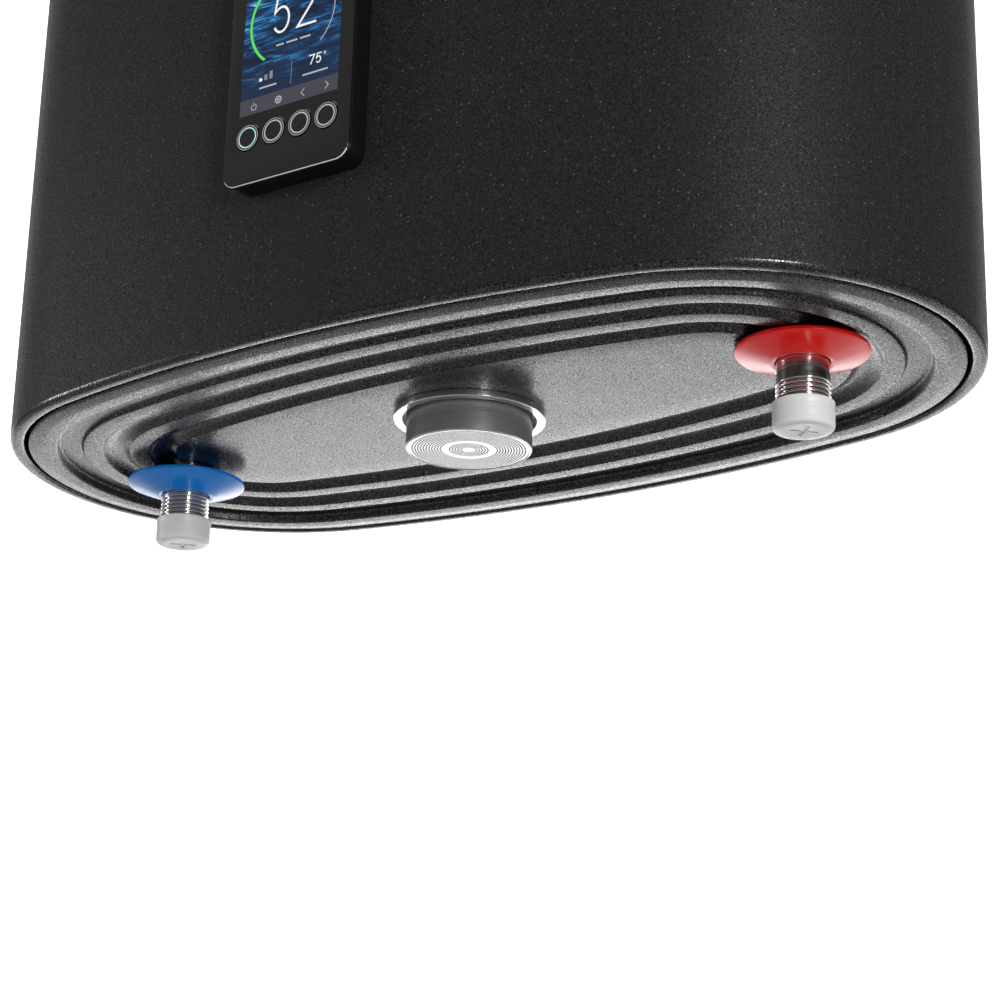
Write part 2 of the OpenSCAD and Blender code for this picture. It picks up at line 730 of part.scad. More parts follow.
module panel_housing() place() color([0.05, 0.05, 0.06]) difference() {
    panel_plate(panel_w, panel_z, panel_z + panel_h, panel_corner_r, glass_back, -half_d + 3);
    inside_side(-1, seat_gap, panel_w);
    panel_plate(panel_w - 2 * housing_t, panel_z + housing_t, panel_z + panel_h - housing_t,
        panel_corner_r - housing_t, glass_back - past, -half_d - housing_floor);
    translate([-window_w / 2, -half_d - 3, window_z[0]])
        cube([window_w, 6, window_z[1] - window_z[0]]);
    for (p = screws) y_bore(p, screw_r + m6_hole_gap, -half_d - 3, -half_d + 3);
    // Room for the buttons' rims and their travel
    for (x = button_row)
        y_bore([x, button_z], button_r + button_rim + button_gap, glass_back - past,
            glass_back + 2 * seat_gap + button_rim_t + button_travel + button_gap);
}

module panel_glass() place() color([0.02, 0.02, 0.03]) difference() {
    panel_plate(panel_w, panel_z, panel_z + panel_h, panel_corner_r, panel_front, glass_back);
    for (x = button_row)
        y_bore([x, button_z], button_r + button_gap, panel_front - past, glass_back + past);
}

module display_module() place() color([0.05, 0.15, 0.35])
    translate([-screen_w / 2, module_front, panel_z + screen_lift])
        cube([screen_w, module_t, screen_h]);

module display_board() place() color([0.1, 0.35, 0.2]) difference() {
    panel_plate(panel_w - 2 * board_edge, panel_z + board_edge, panel_z + panel_h - board_edge,
        max(panel_corner_r - board_edge, 0.5), board_front, board_front + board_t);
    for (p = screws)
        y_bore(p, screw_head_r + 0.3, board_front - past, board_front + board_t + past);
}

module button(i) place() color([0.04, 0.04, 0.05]) {
    p = [button_row[i], button_z];
    rim_y = glass_back + 2 * seat_gap;
    y_bore(p, button_r, panel_front - button_proud, rim_y + button_rim_t);
    y_bore(p, button_r + button_rim, rim_y, rim_y + button_rim_t);
    y_bore(p, stem_r, glass_back, switch_top - switch_gap);
}

module button_1() button(0);
module button_2() button(1);
module button_3() button(2);
module button_4() button(3);

module button_switches() place() color([0.75, 0.75, 0.75]) for (x = button_row) {
    translate([x - switch_w / 2, switch_top + 0.5, button_z - switch_w / 2])
        cube([switch_w, board_front - switch_top - 0.5, switch_w]);
    y_bore([x, button_z], stem_r, switch_top, switch_top + 1);
}

module panel_screws() place() color([0.7, 0.7, 0.7]) for (p = screws) {
    y_bore(p, screw_r, screw_head_y[0] + 0.6, -half_d + 6);
    y_bore(p, screw_head_r, screw_head_y[0], screw_head_y[1]);
}

// The flat lead from the display to the power board, held inside the housing and the shell.
module display_lead() place() color([0.8, 0.8, 0.8]) {
    lead_y = -half_d + 6;
    lead_z = window_z[0] + 5;
    translate([-lead_w / 2, board_front + board_t, lead_z])
        cube([lead_w, lead_y - board_front - board_t + lead_t, lead_t]);
    translate([-lead_w / 2, lead_y, board_top])
        cube([lead_w, lead_t, lead_z - board_top + lead_t]);
    translate([-lead_w / 2, lead_y, board_top])
        cube([lead_w, -tray_size[1] / 2 + 14 - lead_y, lead_t]);
}

// ---------- wall brackets ----------

module slot(x, z) {
    half = (slot_len - slot_w) / 2;
    for (s = [-1, 1])
        y_bore([x + s * half, z], slot_w / 2, wall_y - 2 * bracket_t, wall_y + past);
    translate([x - half, wall_y - 2 * bracket_t, z - slot_w / 2])
        cube([2 * half, 2 * bracket_t + past, slot_w]);
}

module bracket(z) place() color([0.55, 0.56, 0.57]) difference() {
    union() {
        translate([-bracket_w / 2, wall_y - bracket_t, z - bracket_h / 2])
            cube([bracket_w, bracket_t, bracket_h]);
        for (s = [-1, 1]) {
            translate([s * leg_x - bracket_t / 2, half_d - foot_seat, z - bracket_h / 2])
                cube([bracket_t, wall_gap + foot_seat - bracket_t / 2, bracket_h]);
            translate([s * (leg_x + foot_w / 2) - foot_w / 2, half_d - foot_seat, z - bracket_h / 2])
                cube([foot_w, foot_seat + bracket_t, bracket_h]);
        }
    }
    inside_side(1, seat_gap, bracket_w / 2);
    for (s = [-1, 1]) {
        slot(s * slot_pitch / 2, z);
        y_bore([s * foot_bolt_x, z], m6_r + m6_hole_gap, bolt_end_y, half_d + 2 * bracket_t);
    }
}

module upper_bracket() bracket(upper_z);
module lower_bracket() bracket(lower_z);

module bracket_bolts() place() color([0.75, 0.75, 0.74]) for (p = foot_bolts) {
    y_bore(p, m6_r, bolt_end_y, half_d + bracket_t + 1);
    translate([p[0], half_d + bracket_t, p[1]]) rotate([-90, 0, 0]) hex(m6_head[0], m6_head[1]);
}

// ---------- cable entry ----------

module cable_gland() place() color([0.1, 0.1, 0.1]) difference() {
    union() {
        y_bore([0, gland_z], gland_neck_r, gland_y[0], half_d + 1);
        y_bore([0, gland_z], gland_rim_r, half_d + seat_gap, half_d + 5);
        y_bore([0, gland_z], gland_end_r, half_d + 4, gland_y[1]);
    }
    y_bore([0, gland_z], gland_bore_r, gland_y[0] - past, gland_y[1] + past);
}

module gland_nut() place() color([0.1, 0.1, 0.1]) difference() {
    translate([0, half_d - sheet_t - nut_gap - gland_nut_t, gland_z]) rotate([-90, 0, 0])
        hex(2 * gland_neck_r + 6, gland_nut_t);
    y_bore([0, gland_z], gland_neck_r + seat_gap / 2, gland_y[0] - past, half_d);
}

outer_shell();
top_cap();
bottom_cap();
foam_insulation();
tank(-1);  // tank_left
tank(1);  // tank_right
transfer_pipe();
cold_inlet_pipe();
inlet_diffuser();
hot_outlet_pipe();
cold_collar();
hot_collar();
cold_transport_cap();
hot_transport_cap();
flange(-1);  // flange_left
flange(1);  // flange_right
flange_gasket(-1);  // flange_gasket_left
flange_gasket(1);  // flange_gasket_right
heating_element(-1);  // heating_element_left
heating_element(1);  // heating_element_right
anode_rod(-1);  // anode_rod_left
anode_rod(1);  // anode_rod_right
thermowell(-1);  // thermowell_left
thermowell(1);  // thermowell_right
flange_bolt_set(-1);  // flange_bolts_left
flange_bolt_set(1);  // flange_bolts_right
temperature_sensor(-1);  // temperature_sensor_left
temperature_sensor(1);  // temperature_sensor_right
thermal_cutout();
board_tray();
power_board();
relays();
terminal_block();
knob_bezel();
knob_core();
knob_sleeve();
knob_face();
knob_shaft();
encoder_body();
encoder_bushing();
encoder_nut();
panel_housing();
panel_glass();
display_module();
display_board();
button_1();
button_2();
button_3();
button_4();
button_switches();
panel_screws();
display_lead();
upper_bracket();
lower_bracket();
bracket_bolts();
cable_gland();
gland_nut();
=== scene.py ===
"""Looks, lights and camera of a flat wall-hung tank water heater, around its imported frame."""
import json
import math

import bmesh
import bpy
from mathutils import Matrix, Vector


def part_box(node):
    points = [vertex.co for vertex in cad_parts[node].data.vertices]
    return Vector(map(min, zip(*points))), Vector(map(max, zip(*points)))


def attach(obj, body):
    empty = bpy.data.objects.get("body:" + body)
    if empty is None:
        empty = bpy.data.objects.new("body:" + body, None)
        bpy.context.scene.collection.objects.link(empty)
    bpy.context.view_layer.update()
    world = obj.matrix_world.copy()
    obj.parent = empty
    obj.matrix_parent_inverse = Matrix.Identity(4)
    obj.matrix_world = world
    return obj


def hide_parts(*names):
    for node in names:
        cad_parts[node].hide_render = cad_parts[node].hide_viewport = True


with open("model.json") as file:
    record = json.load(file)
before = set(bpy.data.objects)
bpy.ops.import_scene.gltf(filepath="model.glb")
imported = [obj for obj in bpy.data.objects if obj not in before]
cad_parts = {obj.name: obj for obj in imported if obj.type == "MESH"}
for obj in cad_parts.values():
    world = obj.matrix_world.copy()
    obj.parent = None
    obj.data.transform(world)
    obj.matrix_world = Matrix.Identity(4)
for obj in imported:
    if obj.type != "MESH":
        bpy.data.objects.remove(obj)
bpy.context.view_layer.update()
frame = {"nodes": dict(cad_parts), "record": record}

MM = 0.001
TAU = 2 * math.pi
# Edges that turn by more degrees than this stay hard.
SHARP = 32
# A turned end closes on a circle this small, as a lathe path stays off its axis.
EYE_R = 0.02 * MM

# ---------- places, from the frame ----------

shell_low, shell_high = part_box("outer_shell")
HALF_W = (shell_high.x - shell_low.x) / 2
HALF_D = (shell_high.y - shell_low.y) / 2
MID_Y = (shell_high.y + shell_low.y) / 2
RIM_Z = shell_low.z
TOP_Z = shell_high.z
FLOOR_DROP = 0.75
FLOOR_Z = RIM_Z - FLOOR_DROP

# The body's plan: two round ends joined by two long, slightly bowed sides.
BOW = 11 * MM
END_R = HALF_D - BOW
END_X = HALF_W - END_R
SIDE_R = (END_X ** 2 + HALF_D ** 2 - END_R ** 2) / (2 * (HALF_D - END_R))
SIDE_Y = SIDE_R - HALF_D
JOIN = math.atan2(SIDE_Y, END_X)


def middle(node):
    """The plan centre of a CAD node."""
    low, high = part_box(node)
    return (low.x + high.x) / 2, (low.y + high.y) / 2


# ---------- paths ----------

def arc(centre, radius, start, end, steps):
    """Points along an arc, both ends included, with angles in degrees."""
    return [
        (centre[0] + radius * math.cos(math.radians(start + (end - start) * i / steps)),
         centre[1] + radius * math.sin(math.radians(start + (end - start) * i / steps)))
        for i in range(steps + 1)
    ]


def rounded(points, closed=False, steps=5):
    """A path with its corners rounded. Each point is (u, v) or (u, v, radius)."""
    path = []
    count = len(points)
    for i, point in enumerate(points):
        here = Vector(point[:2])
        radius = point[2] if len(point) > 2 else 0
        if radius == 0 or (not closed and i in (0, count - 1)):
            path.append(tuple(here))
            continue
        back = Vector(points[i - 1][:2]) - here
        ahead = Vector(points[(i + 1) % count][:2]) - here
        turn = back.angle(ahead)
        reach = min(radius / math.tan(turn / 2), 0.49 * min(back.length, ahead.length))
        start = here + back.normalized() * reach
        end = here + ahead.normalized() * reach
        for k in range(steps + 1):
            t = k / steps
            path.append(tuple(start * (1 - t) ** 2 + here * 2 * t * (1 - t) + end * t ** 2))
    return path


def groove(start, end, depth, steps=10):
    """The inner points of a half-round groove that rises by depth between two edge points."""
    width = end[0] - start[0]
    radius = (width ** 2 / 4 + depth ** 2) / (2 * depth)
    half = math.asin(width / 2 / radius)
    points = []
    for k in range(1, steps):
        t = k / steps
        a = (2 * t - 1) * half
        base = start[1] + (end[1] - start[1]) * t
        points.append((start[0] + width / 2 + radius * math.sin(a),
                       base + depth - radius * (1 - math.cos(a))))
    return points


# ---------- meshes ----------

def grid_faces(rows, row_len, close_rows, close_ring):
    """Quads over rows of points. Rings may close, and so may the stack of rows."""
    faces = []
    for i in range(rows if close_rows else rows - 1):
        for j in range(row_len if close_ring else row_len - 1):
            a = i * row_len + j
            b = i * row_len + (j + 1) % row_len
            c = ((i + 1) % rows) * row_len + (j + 1) % row_len
            d = ((i + 1) % rows) * row_len + j
            faces.append((a, b, c, d))
    return faces


def finish_mesh(mesh, sharp=SHARP):
    """Faces outward, smooth shading, and edges kept sharp past an angle."""
    work = bmesh.new()
    work.from_mesh(mesh)
    bmesh.ops.remove_doubles(work, verts=work.verts, dist=1e-7)
    bmesh.ops.recalc_face_normals(work, faces=work.faces)
    work.to_mesh(mesh)
    work.free()
    mesh.shade_smooth()
    mesh.set_sharp_from_angle(angle=math.radians(sharp))


def piece(name, verts, faces, looks, body, slot, *nodes, sharp=SHARP, face_look=None):
    """Makes a named piece that rides on a body and stands for some CAD nodes."""
    mesh = bpy.data.meshes.new(name)
    mesh.from_pydata([tuple(v) for v in verts], [], faces)
    for look in looks if isinstance(looks, (list, tuple)) else [looks]:
        mesh.materials.append(look)
    if face_look:
        for polygon in mesh.polygons:
            polygon.material_index = face_look(polygon)
    finish_mesh(mesh, sharp)
    made = bpy.data.objects.new(name, mesh)
    bpy.context.scene.collection.objects.link(made)
    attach(made, body)
    if nodes:
        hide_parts(*nodes)
    return made


def oval_stations(side_steps=72, end_steps=44):
    """(centre x, centre y, radius, angle) all round the oval, anticlockwise from the right end."""
    runs = [
        ((END_X, 0), END_R, -JOIN, JOIN, end_steps),
        ((0, -SIDE_Y), SIDE_R, JOIN, math.pi - JOIN, side_steps),
        ((-END_X, 0), END_R, math.pi - JOIN, math.pi + JOIN, end_steps),
        ((0, SIDE_Y), SIDE_R, math.pi + JOIN, TAU - JOIN, side_steps),
    ]
    for centre, radius, start, end, steps in runs:
        for i in range(steps):
            yield centre[0], centre[1], radius, start + (end - start) * i / steps


def oval_sweep(name, path, closed, looks, slot, *nodes, **options):
    """Sweeps a path of (inset, height) round the oval. An open path is closed by flat ends."""
    verts = []
    for cx, cy, radius, a in oval_stations():
        for inset, z in path:
            reach = radius - inset
            verts.append((cx + reach * math.cos(a), MID_Y + cy + reach * math.sin(a), z))
    n = len(path)
    rings = len(verts) // n
    faces = grid_faces(rings, n, True, closed)
    if not closed:
        faces += [tuple(i * n for i in range(rings)), tuple(i * n + n - 1 for i in range(rings))]
    return piece(name, verts, faces, looks, "heater", slot, *nodes, **options)


def lathe_mesh(path, closed, steps, place):
    """Turns a path of (radius, height) about local Z, then places it by a matrix."""
    verts = []
    for i in range(steps):
        a = TAU * i / steps
        for r, z in path:
            verts.append(place @ Vector((r * math.cos(a), r * math.sin(a), z)))
    n = len(path)
    faces = grid_faces(steps, n, True, closed)
    if not closed:
        faces += [tuple(i * n for i in range(steps)), tuple(i * n + n - 1 for i in range(steps))]
    return verts, faces


def lathe(name, path, closed, looks, body, slot, *nodes, place=None, steps=128, **options):
    """A piece turned about its own axis."""
    verts, faces = lathe_mesh(path, closed, steps, place or Matrix.Identity(4))
    return piece(name, verts, faces, looks, body, slot, *nodes, **options)


def upright(x, y, z=0):
    """Local +Z stays up."""
    return Matrix.Translation((x, y, z))


def facing_front(x, y, z):
    """Local +Z comes out of the front, towards -Y."""
    return Matrix.Translation((x, y, z)) @ Matrix.Rotation(math.radians(90), 4, "X")


def solid_from_outlines(name, outlines, depth, bevel, place, looks, body, slot, *nodes, **options):
    """A plate from closed outlines, the later ones holes, with a rounded edge all round."""
    curve = bpy.data.curves.new(name, "CURVE")
    curve.dimensions = "2D"
    curve.fill_mode = "BOTH"
    curve.extrude = depth / 2 - bevel
    curve.bevel_depth = bevel
    curve.bevel_resolution = 3
    curve.offset = -bevel
    for outline in outlines:
        spline = curve.splines.new("POLY")
        spline.points.add(len(outline) - 1)
        for point, (u, v) in zip(spline.points, outline):
            point.co = (u, v, 0, 1)
        spline.use_cyclic_u = True
    drawn = bpy.data.objects.new(name + "_outline", curve)
    bpy.context.scene.collection.objects.link(drawn)
    bpy.context.view_layer.update()
    flat = bpy.data.meshes.new_from_object(drawn.evaluated_get(bpy.context.evaluated_depsgraph_get()))
    verts = [place @ v.co for v in flat.vertices]
    faces = [tuple(p.vertices) for p in flat.polygons]
    bpy.data.objects.remove(drawn)
    bpy.data.meshes.remove(flat)
    bpy.data.curves.remove(curve)
    return piece(name, verts, faces, looks, body, slot, *nodes, **options)


def cut_away(target, cutters):
    """Cuts some helper meshes out of a piece and removes them."""
    for verts, faces in cutters:
        mesh = bpy.data.meshes.new("cutter")
        mesh.from_pydata([tuple(v) for v in verts], [], faces)
        finish_mesh(mesh)
        tool = bpy.data.objects.new("cutter", mesh)
        bpy.context.scene.collection.objects.link(tool)
        step = target.modifiers.new("cut", "BOOLEAN")
        step.operation = "DIFFERENCE"
        step.solver = "EXACT"
        step.object = tool
        bpy.context.view_layer.update()
        graph = bpy.context.evaluated_depsgraph_get()
        result = bpy.data.meshes.new_from_object(target.evaluated_get(graph))
        target.modifiers.clear()
        old = target.data
        target.data = result
        result.name = old.name
        bpy.data.meshes.remove(old)
        bpy.data.objects.remove(tool)
    target.data.shade_smooth()
    target.data.set_sharp_from_angle(angle=math.radians(SHARP))


def box_mesh(low, high, place):
    """A box between two corners, placed by a matrix."""
    corners = [(x, y, z) for x in (low[0], high[0]) for y in (low[1], high[1]) for z in (low[2], high[2])]
    faces = [(0, 1, 3, 2), (4, 6, 7, 5), (0, 4, 5, 1), (2, 3, 7, 6), (0, 2, 6, 4), (1, 5, 7, 3)]
    return [place @ Vector(c) for c in corners], faces


# ---------- materials ----------

class Look:
    """A procedural material, built up from a few steps."""

    def __init__(self, name, base, rough, metal=0.0, specular=0.5):
        self.material = bpy.data.materials.new(name)
        self.material.use_nodes = True
        self.tree = self.material.node_tree
        self.shader = self.tree.nodes["Principled BSDF"]
        self.base = base
        self.set("Base Color", (*base, 1))
        self.set("Roughness", rough)
        self.set("Metallic", metal)
        self.set("Specular IOR Level", specular)
        self.rough = rough

    def set(self, socket, value):
        self.shader.inputs[socket].default_value = value

    def node(self, kind, **values):
        made = self.tree.nodes.new(kind)
        for key, value in values.items():
            if hasattr(made, key):
                setattr(made, key, value)
            else:
                made.inputs[key.replace("_", " ")].default_value = value
        return made

    def link(self, source, target):
        self.tree.links.new(source, target)

    def place(self, stretch=(1, 1, 1), turn=(0, 0, 0)):
        """Object coordinates, stretched and turned."""
        source = self.node("ShaderNodeTexCoord")
        mapping = self.node("ShaderNodeMapping")
        mapping.inputs["Scale"].default_value = stretch
        mapping.inputs["Rotation"].default_value = turn
        self.link(source.outputs["Object"], mapping.inputs["Vector"])
        return mapping.outputs["Vector"]

    def noise(self, scale, detail=3.0, stretch=(1, 1, 1)):
        made = self.node("ShaderNodeTexNoise", Scale=scale, Detail=detail)
        self.link(self.place(stretch), made.inputs["Vector"])
        return made.outputs["Fac"]

    def spread(self, value, low, high, out_low=0.0, out_high=1.0):
        made = self.node("ShaderNodeMapRange")
        for key, number in (("From Min", low), ("From Max", high), ("To Min", out_low), ("To Max", out_high)):
            made.inputs[key].default_value = number
        self.link(value, made.inputs["Value"])
        return made.outputs["Result"]

    def blend(self, factor, first, second):
        """A colour between two colours, each a tuple or a socket."""
        made = self.node("ShaderNodeMix", data_type="RGBA")
        self.link(factor, made.inputs[0])
        for index, colour in ((6, first), (7, second)):
            if isinstance(colour, tuple):
                made.inputs[index].default_value = (*colour, 1)
            else:
                self.link(colour, made.inputs[index])
        return made.outputs[2]

    def mottle(self, scale, amount, stretch=(1, 1, 1)):
        """Lets the colour wander by a share of itself."""
        factor = self.spread(self.noise(scale, 4.0, stretch), 0.3, 0.7)
        dark = tuple(c * (1 - amount) for c in self.base)
        light = tuple(min(1, c * (1 + amount)) for c in self.base)
        colour = self.blend(factor, dark, light)
        self.link(colour, self.shader.inputs["Base Color"])

    def uneven(self, scale, amount, stretch=(1, 1, 1)):
        """Lets the roughness wander."""
        value = self.spread(self.noise(scale, 3.0, stretch), 0.3, 0.7,
                            self.rough - amount, self.rough + amount)
        self.link(value, self.shader.inputs["Roughness"])

    def bump(self, height, strength, distance):
        """Adds relief on top of any that is there."""
        made = self.node("ShaderNodeBump")
        made.inputs["Strength"].default_value = strength
        made.inputs["Distance"].default_value = distance
        self.link(height, made.inputs["Height"])
        previous = self.shader.inputs["Normal"]
        if previous.links:
            self.link(previous.links[0].from_socket, made.inputs["Normal"])
        self.link(made.outputs["Normal"], previous)

    def grain(self, scale, strength, distance, detail=3.0, stretch=(1, 1, 1)):
        self.bump(self.noise(scale, detail, stretch), strength, distance)


def paint(name, base, rough, specular, flake, texture, speckle, metallic=0.0):
    """Textured powder paint with sparse bright flakes. Speckle is how far its grain's colour swings."""
    look = Look(name, base, rough, metal=metallic, specular=specular)
    fine = look.spread(look.noise(1500, 2.0), 0.36, 0.64)
    dark = tuple(c * (1 - speckle) for c in base)
    light = tuple(c * (1 + 2 * speckle) for c in base)
    look.link(look.blend(fine, dark, light), look.shader.inputs["Base Color"])
    look.link(look.spread(fine, 0, 1, rough + 0.12, rough - 0.1), look.shader.inputs["Roughness"])
    cells = look.node("ShaderNodeTexVoronoi", Scale=620.0, feature="F1")
    look.link(look.place(), cells.inputs["Vector"])
    near = look.spread(cells.outputs["Distance"], 0.26, 0.1)
    pick = look.node("ShaderNodeSeparateColor")
    look.link(cells.outputs["Color"], pick.inputs["Color"])
    rare = look.spread(pick.outputs["Red"], 0.74, 1.0)
    both = look.node("ShaderNodeMath", operation="MULTIPLY")
    look.link(near, both.inputs[0])
    look.link(rare, both.inputs[1])
    ground = look.shader.inputs["Base Color"].links[0].from_socket
    look.link(look.blend(both.outputs[0], ground, flake), look.shader.inputs["Base Color"])
    look.grain(1300, texture, 0.0003, detail=2.0)
    look.grain(60, 0.03, 0.0004)
    return look.material


def metal(name, base, rough, stretch=(1, 1, 1), scale=900, brush=0.12, aniso=0.0, share=1.0):
    """Metal with fine lines along the axes that stretch leaves short. Share is how metallic it is."""
    look = Look(name, base, rough, metal=share)
    look.mottle(scale / 3, 0.07, stretch=stretch)
    look.uneven(scale, 0.05, stretch)
    look.grain(scale, brush, 0.00002, stretch=stretch)
    look.set("Anisotropic", aniso)
    return look.material


def plastic(name, base, rough, grain=0.08, coat=0.0):
    """Moulded plastic with a fine grain, and a clear coat where it is glossy."""
    look = Look(name, base, rough)
    look.mottle(25, 0.06)
    look.uneven(40, min(0.05, rough / 2))
    look.grain(1400, grain, 0.00003)
    look.set("Coat Weight", coat)
    look.set("Coat Roughness", 0.05)
    return look.material


def foam(name, base):
    """Rigid foam with its cells showing."""
    look = Look(name, base, 0.9)
    look.mottle(120, 0.12)
    cells = look.node("ShaderNodeTexVoronoi", Scale=700.0)
    look.link(look.place(), cells.inputs["Vector"])
    look.bump(cells.outputs["Distance"], 0.5, 0.0006)
    return look.material


def board(name, base):
    """Solder mask with faint tracks under it."""
    look = Look(name, base, 0.3)
    tracks = look.node("ShaderNodeTexBrick", Scale=70.0)
    tracks.inputs["Color1"].default_value = (*base, 1)
    tracks.inputs["Color2"].default_value = (*(c * 1.25 for c in base), 1)
    tracks.inputs["Mortar"].default_value = (*(c * 1.7 + 0.01 for c in base), 1)
    tracks.inputs["Mortar Size"].default_value = 0.012
    look.link(look.place(), tracks.inputs["Vector"])
    look.link(tracks.outputs["Color"], look.shader.inputs["Base Color"])
    look.grain(900, 0.05, 0.00003)
    return look.material


def glow(name, colour, strength):
    """A lit mark behind glass."""
    look = Look(name, (0.01, 0.01, 0.012), 0.16)
    lively = look.blend(look.spread(look.noise(300, 2.0), 0.3, 0.7),
                        tuple(c * 0.92 for c in colour), colour)
    look.link(lively, look.shader.inputs["Emission Color"])
    look.set("Emission Strength", strength)
    return look.material


def sea_picture(name, low_z, high_z):
    """A lit display: rippled deep water that fades to slate towards its lower edge."""
    look = Look(name, (0.004, 0.008, 0.02), 0.12, specular=0.4)
    warp = look.noise(90, 2.0, stretch=(0.5, 1, 1.2))
    ripples = look.node("ShaderNodeTexNoise", Scale=260.0, Detail=5.0, Distortion=1.6)
    ripples.inputs["Roughness"].default_value = 0.62
    look.link(look.place((0.22, 1, 1.25), (0, math.radians(7), 0)), ripples.inputs["Vector"])
    mix = look.node("ShaderNodeMath", operation="MULTIPLY_ADD")
    look.link(warp, mix.inputs[0])
    mix.inputs[1].default_value = 0.35
    look.link(ripples.outputs["Fac"], mix.inputs[2])
    shades = look.node("ShaderNodeValToRGB")
    ramp = shades.color_ramp
    stops = [(0.54, (0.0008, 0.004, 0.015)), (0.66, (0.002, 0.025, 0.075)), (0.74, (0.006, 0.09, 0.25)),
             (0.82, (0.04, 0.25, 0.52)), (0.92, (0.34, 0.58, 0.8))]
    for position, colour in stops[1:-1]:
        ramp.elements.new(position)
    for element, (position, colour) in zip(ramp.elements, stops):
        element.position = position
        element.color = (*colour, 1)
    look.link(mix.outputs[0], shades.inputs["Fac"])
    split = look.node("ShaderNodeSeparateXYZ")
    look.link(look.place(), split.inputs["Vector"])
    height = look.spread(split.outputs["Z"], low_z, high_z)
    fade = look.spread(height, 0.08, 0.36)
    colour = look.blend(fade, (0.007, 0.015, 0.045), shades.outputs["Color"])
    look.link(colour, look.shader.inputs["Emission Color"])
    look.set("Emission Strength", 1.0)
    return look.material


SHELL_PAINT = paint("shell_paint", (0.0155, 0.0141, 0.0149), 0.48, 0.14, (0.17, 0.15, 0.155), 0.6, 0.55)
CAP_PAINT = paint("cap_paint", (0.045, 0.044, 0.044), 0.25, 0.5, (0.4, 0.39, 0.39), 0.2, 0.8, metallic=0.9)
FOAM = foam("foam", (0.86, 0.78, 0.5))
TANK_STEEL = metal("tank_steel", (0.62, 0.62, 0.63), 0.34, stretch=(1, 1, 0.03))
PIPE_STEEL = metal("pipe_steel", (0.72, 0.7, 0.69), 0.16, stretch=(0.05, 0.05, 1), scale=1600, brush=0.05)
BLUE_PLASTIC = plastic("blue_plastic", (0.001, 0.22, 0.74), 0.2, grain=0.03, coat=0.1)
RED_PLASTIC = plastic("red_plastic", (0.95, 0.006, 0.004), 0.2, grain=0.03, coat=0.1)
FLANGE_STEEL = metal("flange_steel", (0.6, 0.6, 0.56), 0.4)
RUBBER = plastic("seal_rubber", (0.02, 0.02, 0.02), 0.8, grain=0.2)
COPPER = metal("element_copper", (0.72, 0.34, 0.18), 0.36)
ANODE = metal("anode_metal", (0.5, 0.51, 0.52), 0.55, brush=0.3)
BRASS = metal("brass", (0.76, 0.56, 0.24), 0.28)
SENSOR = metal("sensor_metal", (0.66, 0.66, 0.67), 0.3)
ZINC = metal("fastener_zinc", (0.62, 0.62, 0.58), 0.36, scale=500)
BLACK_PLASTIC = plastic("black_plastic", (0.018, 0.018, 0.02), 0.46, grain=0.2)
TRAY_PLASTIC = plastic("tray_plastic", (0.05, 0.05, 0.055), 0.5, grain=0.15)
BOARD_GREEN = board("board_green", (0.01, 0.14, 0.05))
RELAY_BLUE = plastic("relay_blue", (0.02, 0.1, 0.45), 0.25)
TERMINAL_GREEN = plastic("terminal_green", (0.02, 0.28, 0.1), 0.4)
KNOB_METAL = metal("knob_metal", (0.3, 0.295, 0.3), 0.34, stretch=(0.04, 0.04, 1), scale=2200, brush=0.06,
                   aniso=0.4, share=0.5)
KNOB_END = metal("knob_end", (0.6, 0.6, 0.61), 0.3, scale=1500, brush=0.1)
BEZEL_METAL = metal("bezel_metal", (0.72, 0.72, 0.73), 0.14, scale=600, brush=0.01)
# Near-black metal for the end face's grooves: painted shade between the turned rings.
KNOB_GROOVE_SHADE = metal("knob_groove_shade", (0.06, 0.06, 0.06), 0.4, scale=1500, brush=0.1)
PANEL_PLASTIC = plastic("panel_plastic", (0.004, 0.004, 0.005), 0.09, grain=0.01, coat=0.3)
PANEL_GLASS = plastic("panel_glass", (0.0055, 0.0055, 0.0065), 0.06, grain=0.004, coat=0.3)
# Near-white paint for the glass's lower front bevel: a painted highlight that stands in for the floor's
# reflection.
PANEL_EDGE_HIGHLIGHT = plastic("panel_edge_highlight", (0.92, 0.92, 0.94), 0.2, grain=0.01)
LEAD_GREY = plastic("lead_grey", (0.5, 0.5, 0.51), 0.5)
BRACKET_STEEL = metal("bracket_steel", (0.5, 0.51, 0.53), 0.42, scale=220, brush=0.05)


def cap_plastic():
    """Milky plastic that lets a little light through."""
    look = Look("cap_plastic", (0.86, 0.87, 0.86), 0.38)
    look.mottle(60, 0.04)
    look.grain(700, 0.1, 0.00005, stretch=(0.2, 0.2, 1))
    look.set("Subsurface Weight", 0.35)
    look.set("Subsurface Radius", (0.004, 0.004, 0.004))
    look.set("Subsurface Scale", 0.6)
    return look.material


CAP_PLASTIC = cap_plastic()

SLOT_LOOKS = {
    "shell_paint": SHELL_PAINT, "cap_paint": CAP_PAINT, "foam": FOAM, "tank_steel": TANK_STEEL,
    "pipe_steel": PIPE_STEEL, "blue_plastic": BLUE_PLASTIC, "red_plastic": RED_PLASTIC,
    "cap_plastic": CAP_PLASTIC, "flange_steel": FLANGE_STEEL, "seal_rubber": RUBBER,
    "element_copper": COPPER, "anode_metal": ANODE, "well_brass": BRASS, "sensor_metal": SENSOR,
    "fastener_zinc": ZINC, "black_plastic": BLACK_PLASTIC, "tray_plastic": TRAY_PLASTIC,
    "board_green": BOARD_GREEN, "relay_blue": RELAY_BLUE, "terminal_green": TERMINAL_GREEN,
    "knob_metal": KNOB_METAL, "knob_end": KNOB_END, "bezel_metal": BEZEL_METAL, "bush_brass": BRASS,
    "panel_plastic": PANEL_PLASTIC, "panel_glass": PANEL_GLASS, "screen": PANEL_GLASS,
    "button_black": PANEL_GLASS, "switch_metal": SENSOR, "lead_grey": LEAD_GREY,
    "bracket_steel": BRACKET_STEEL,
}


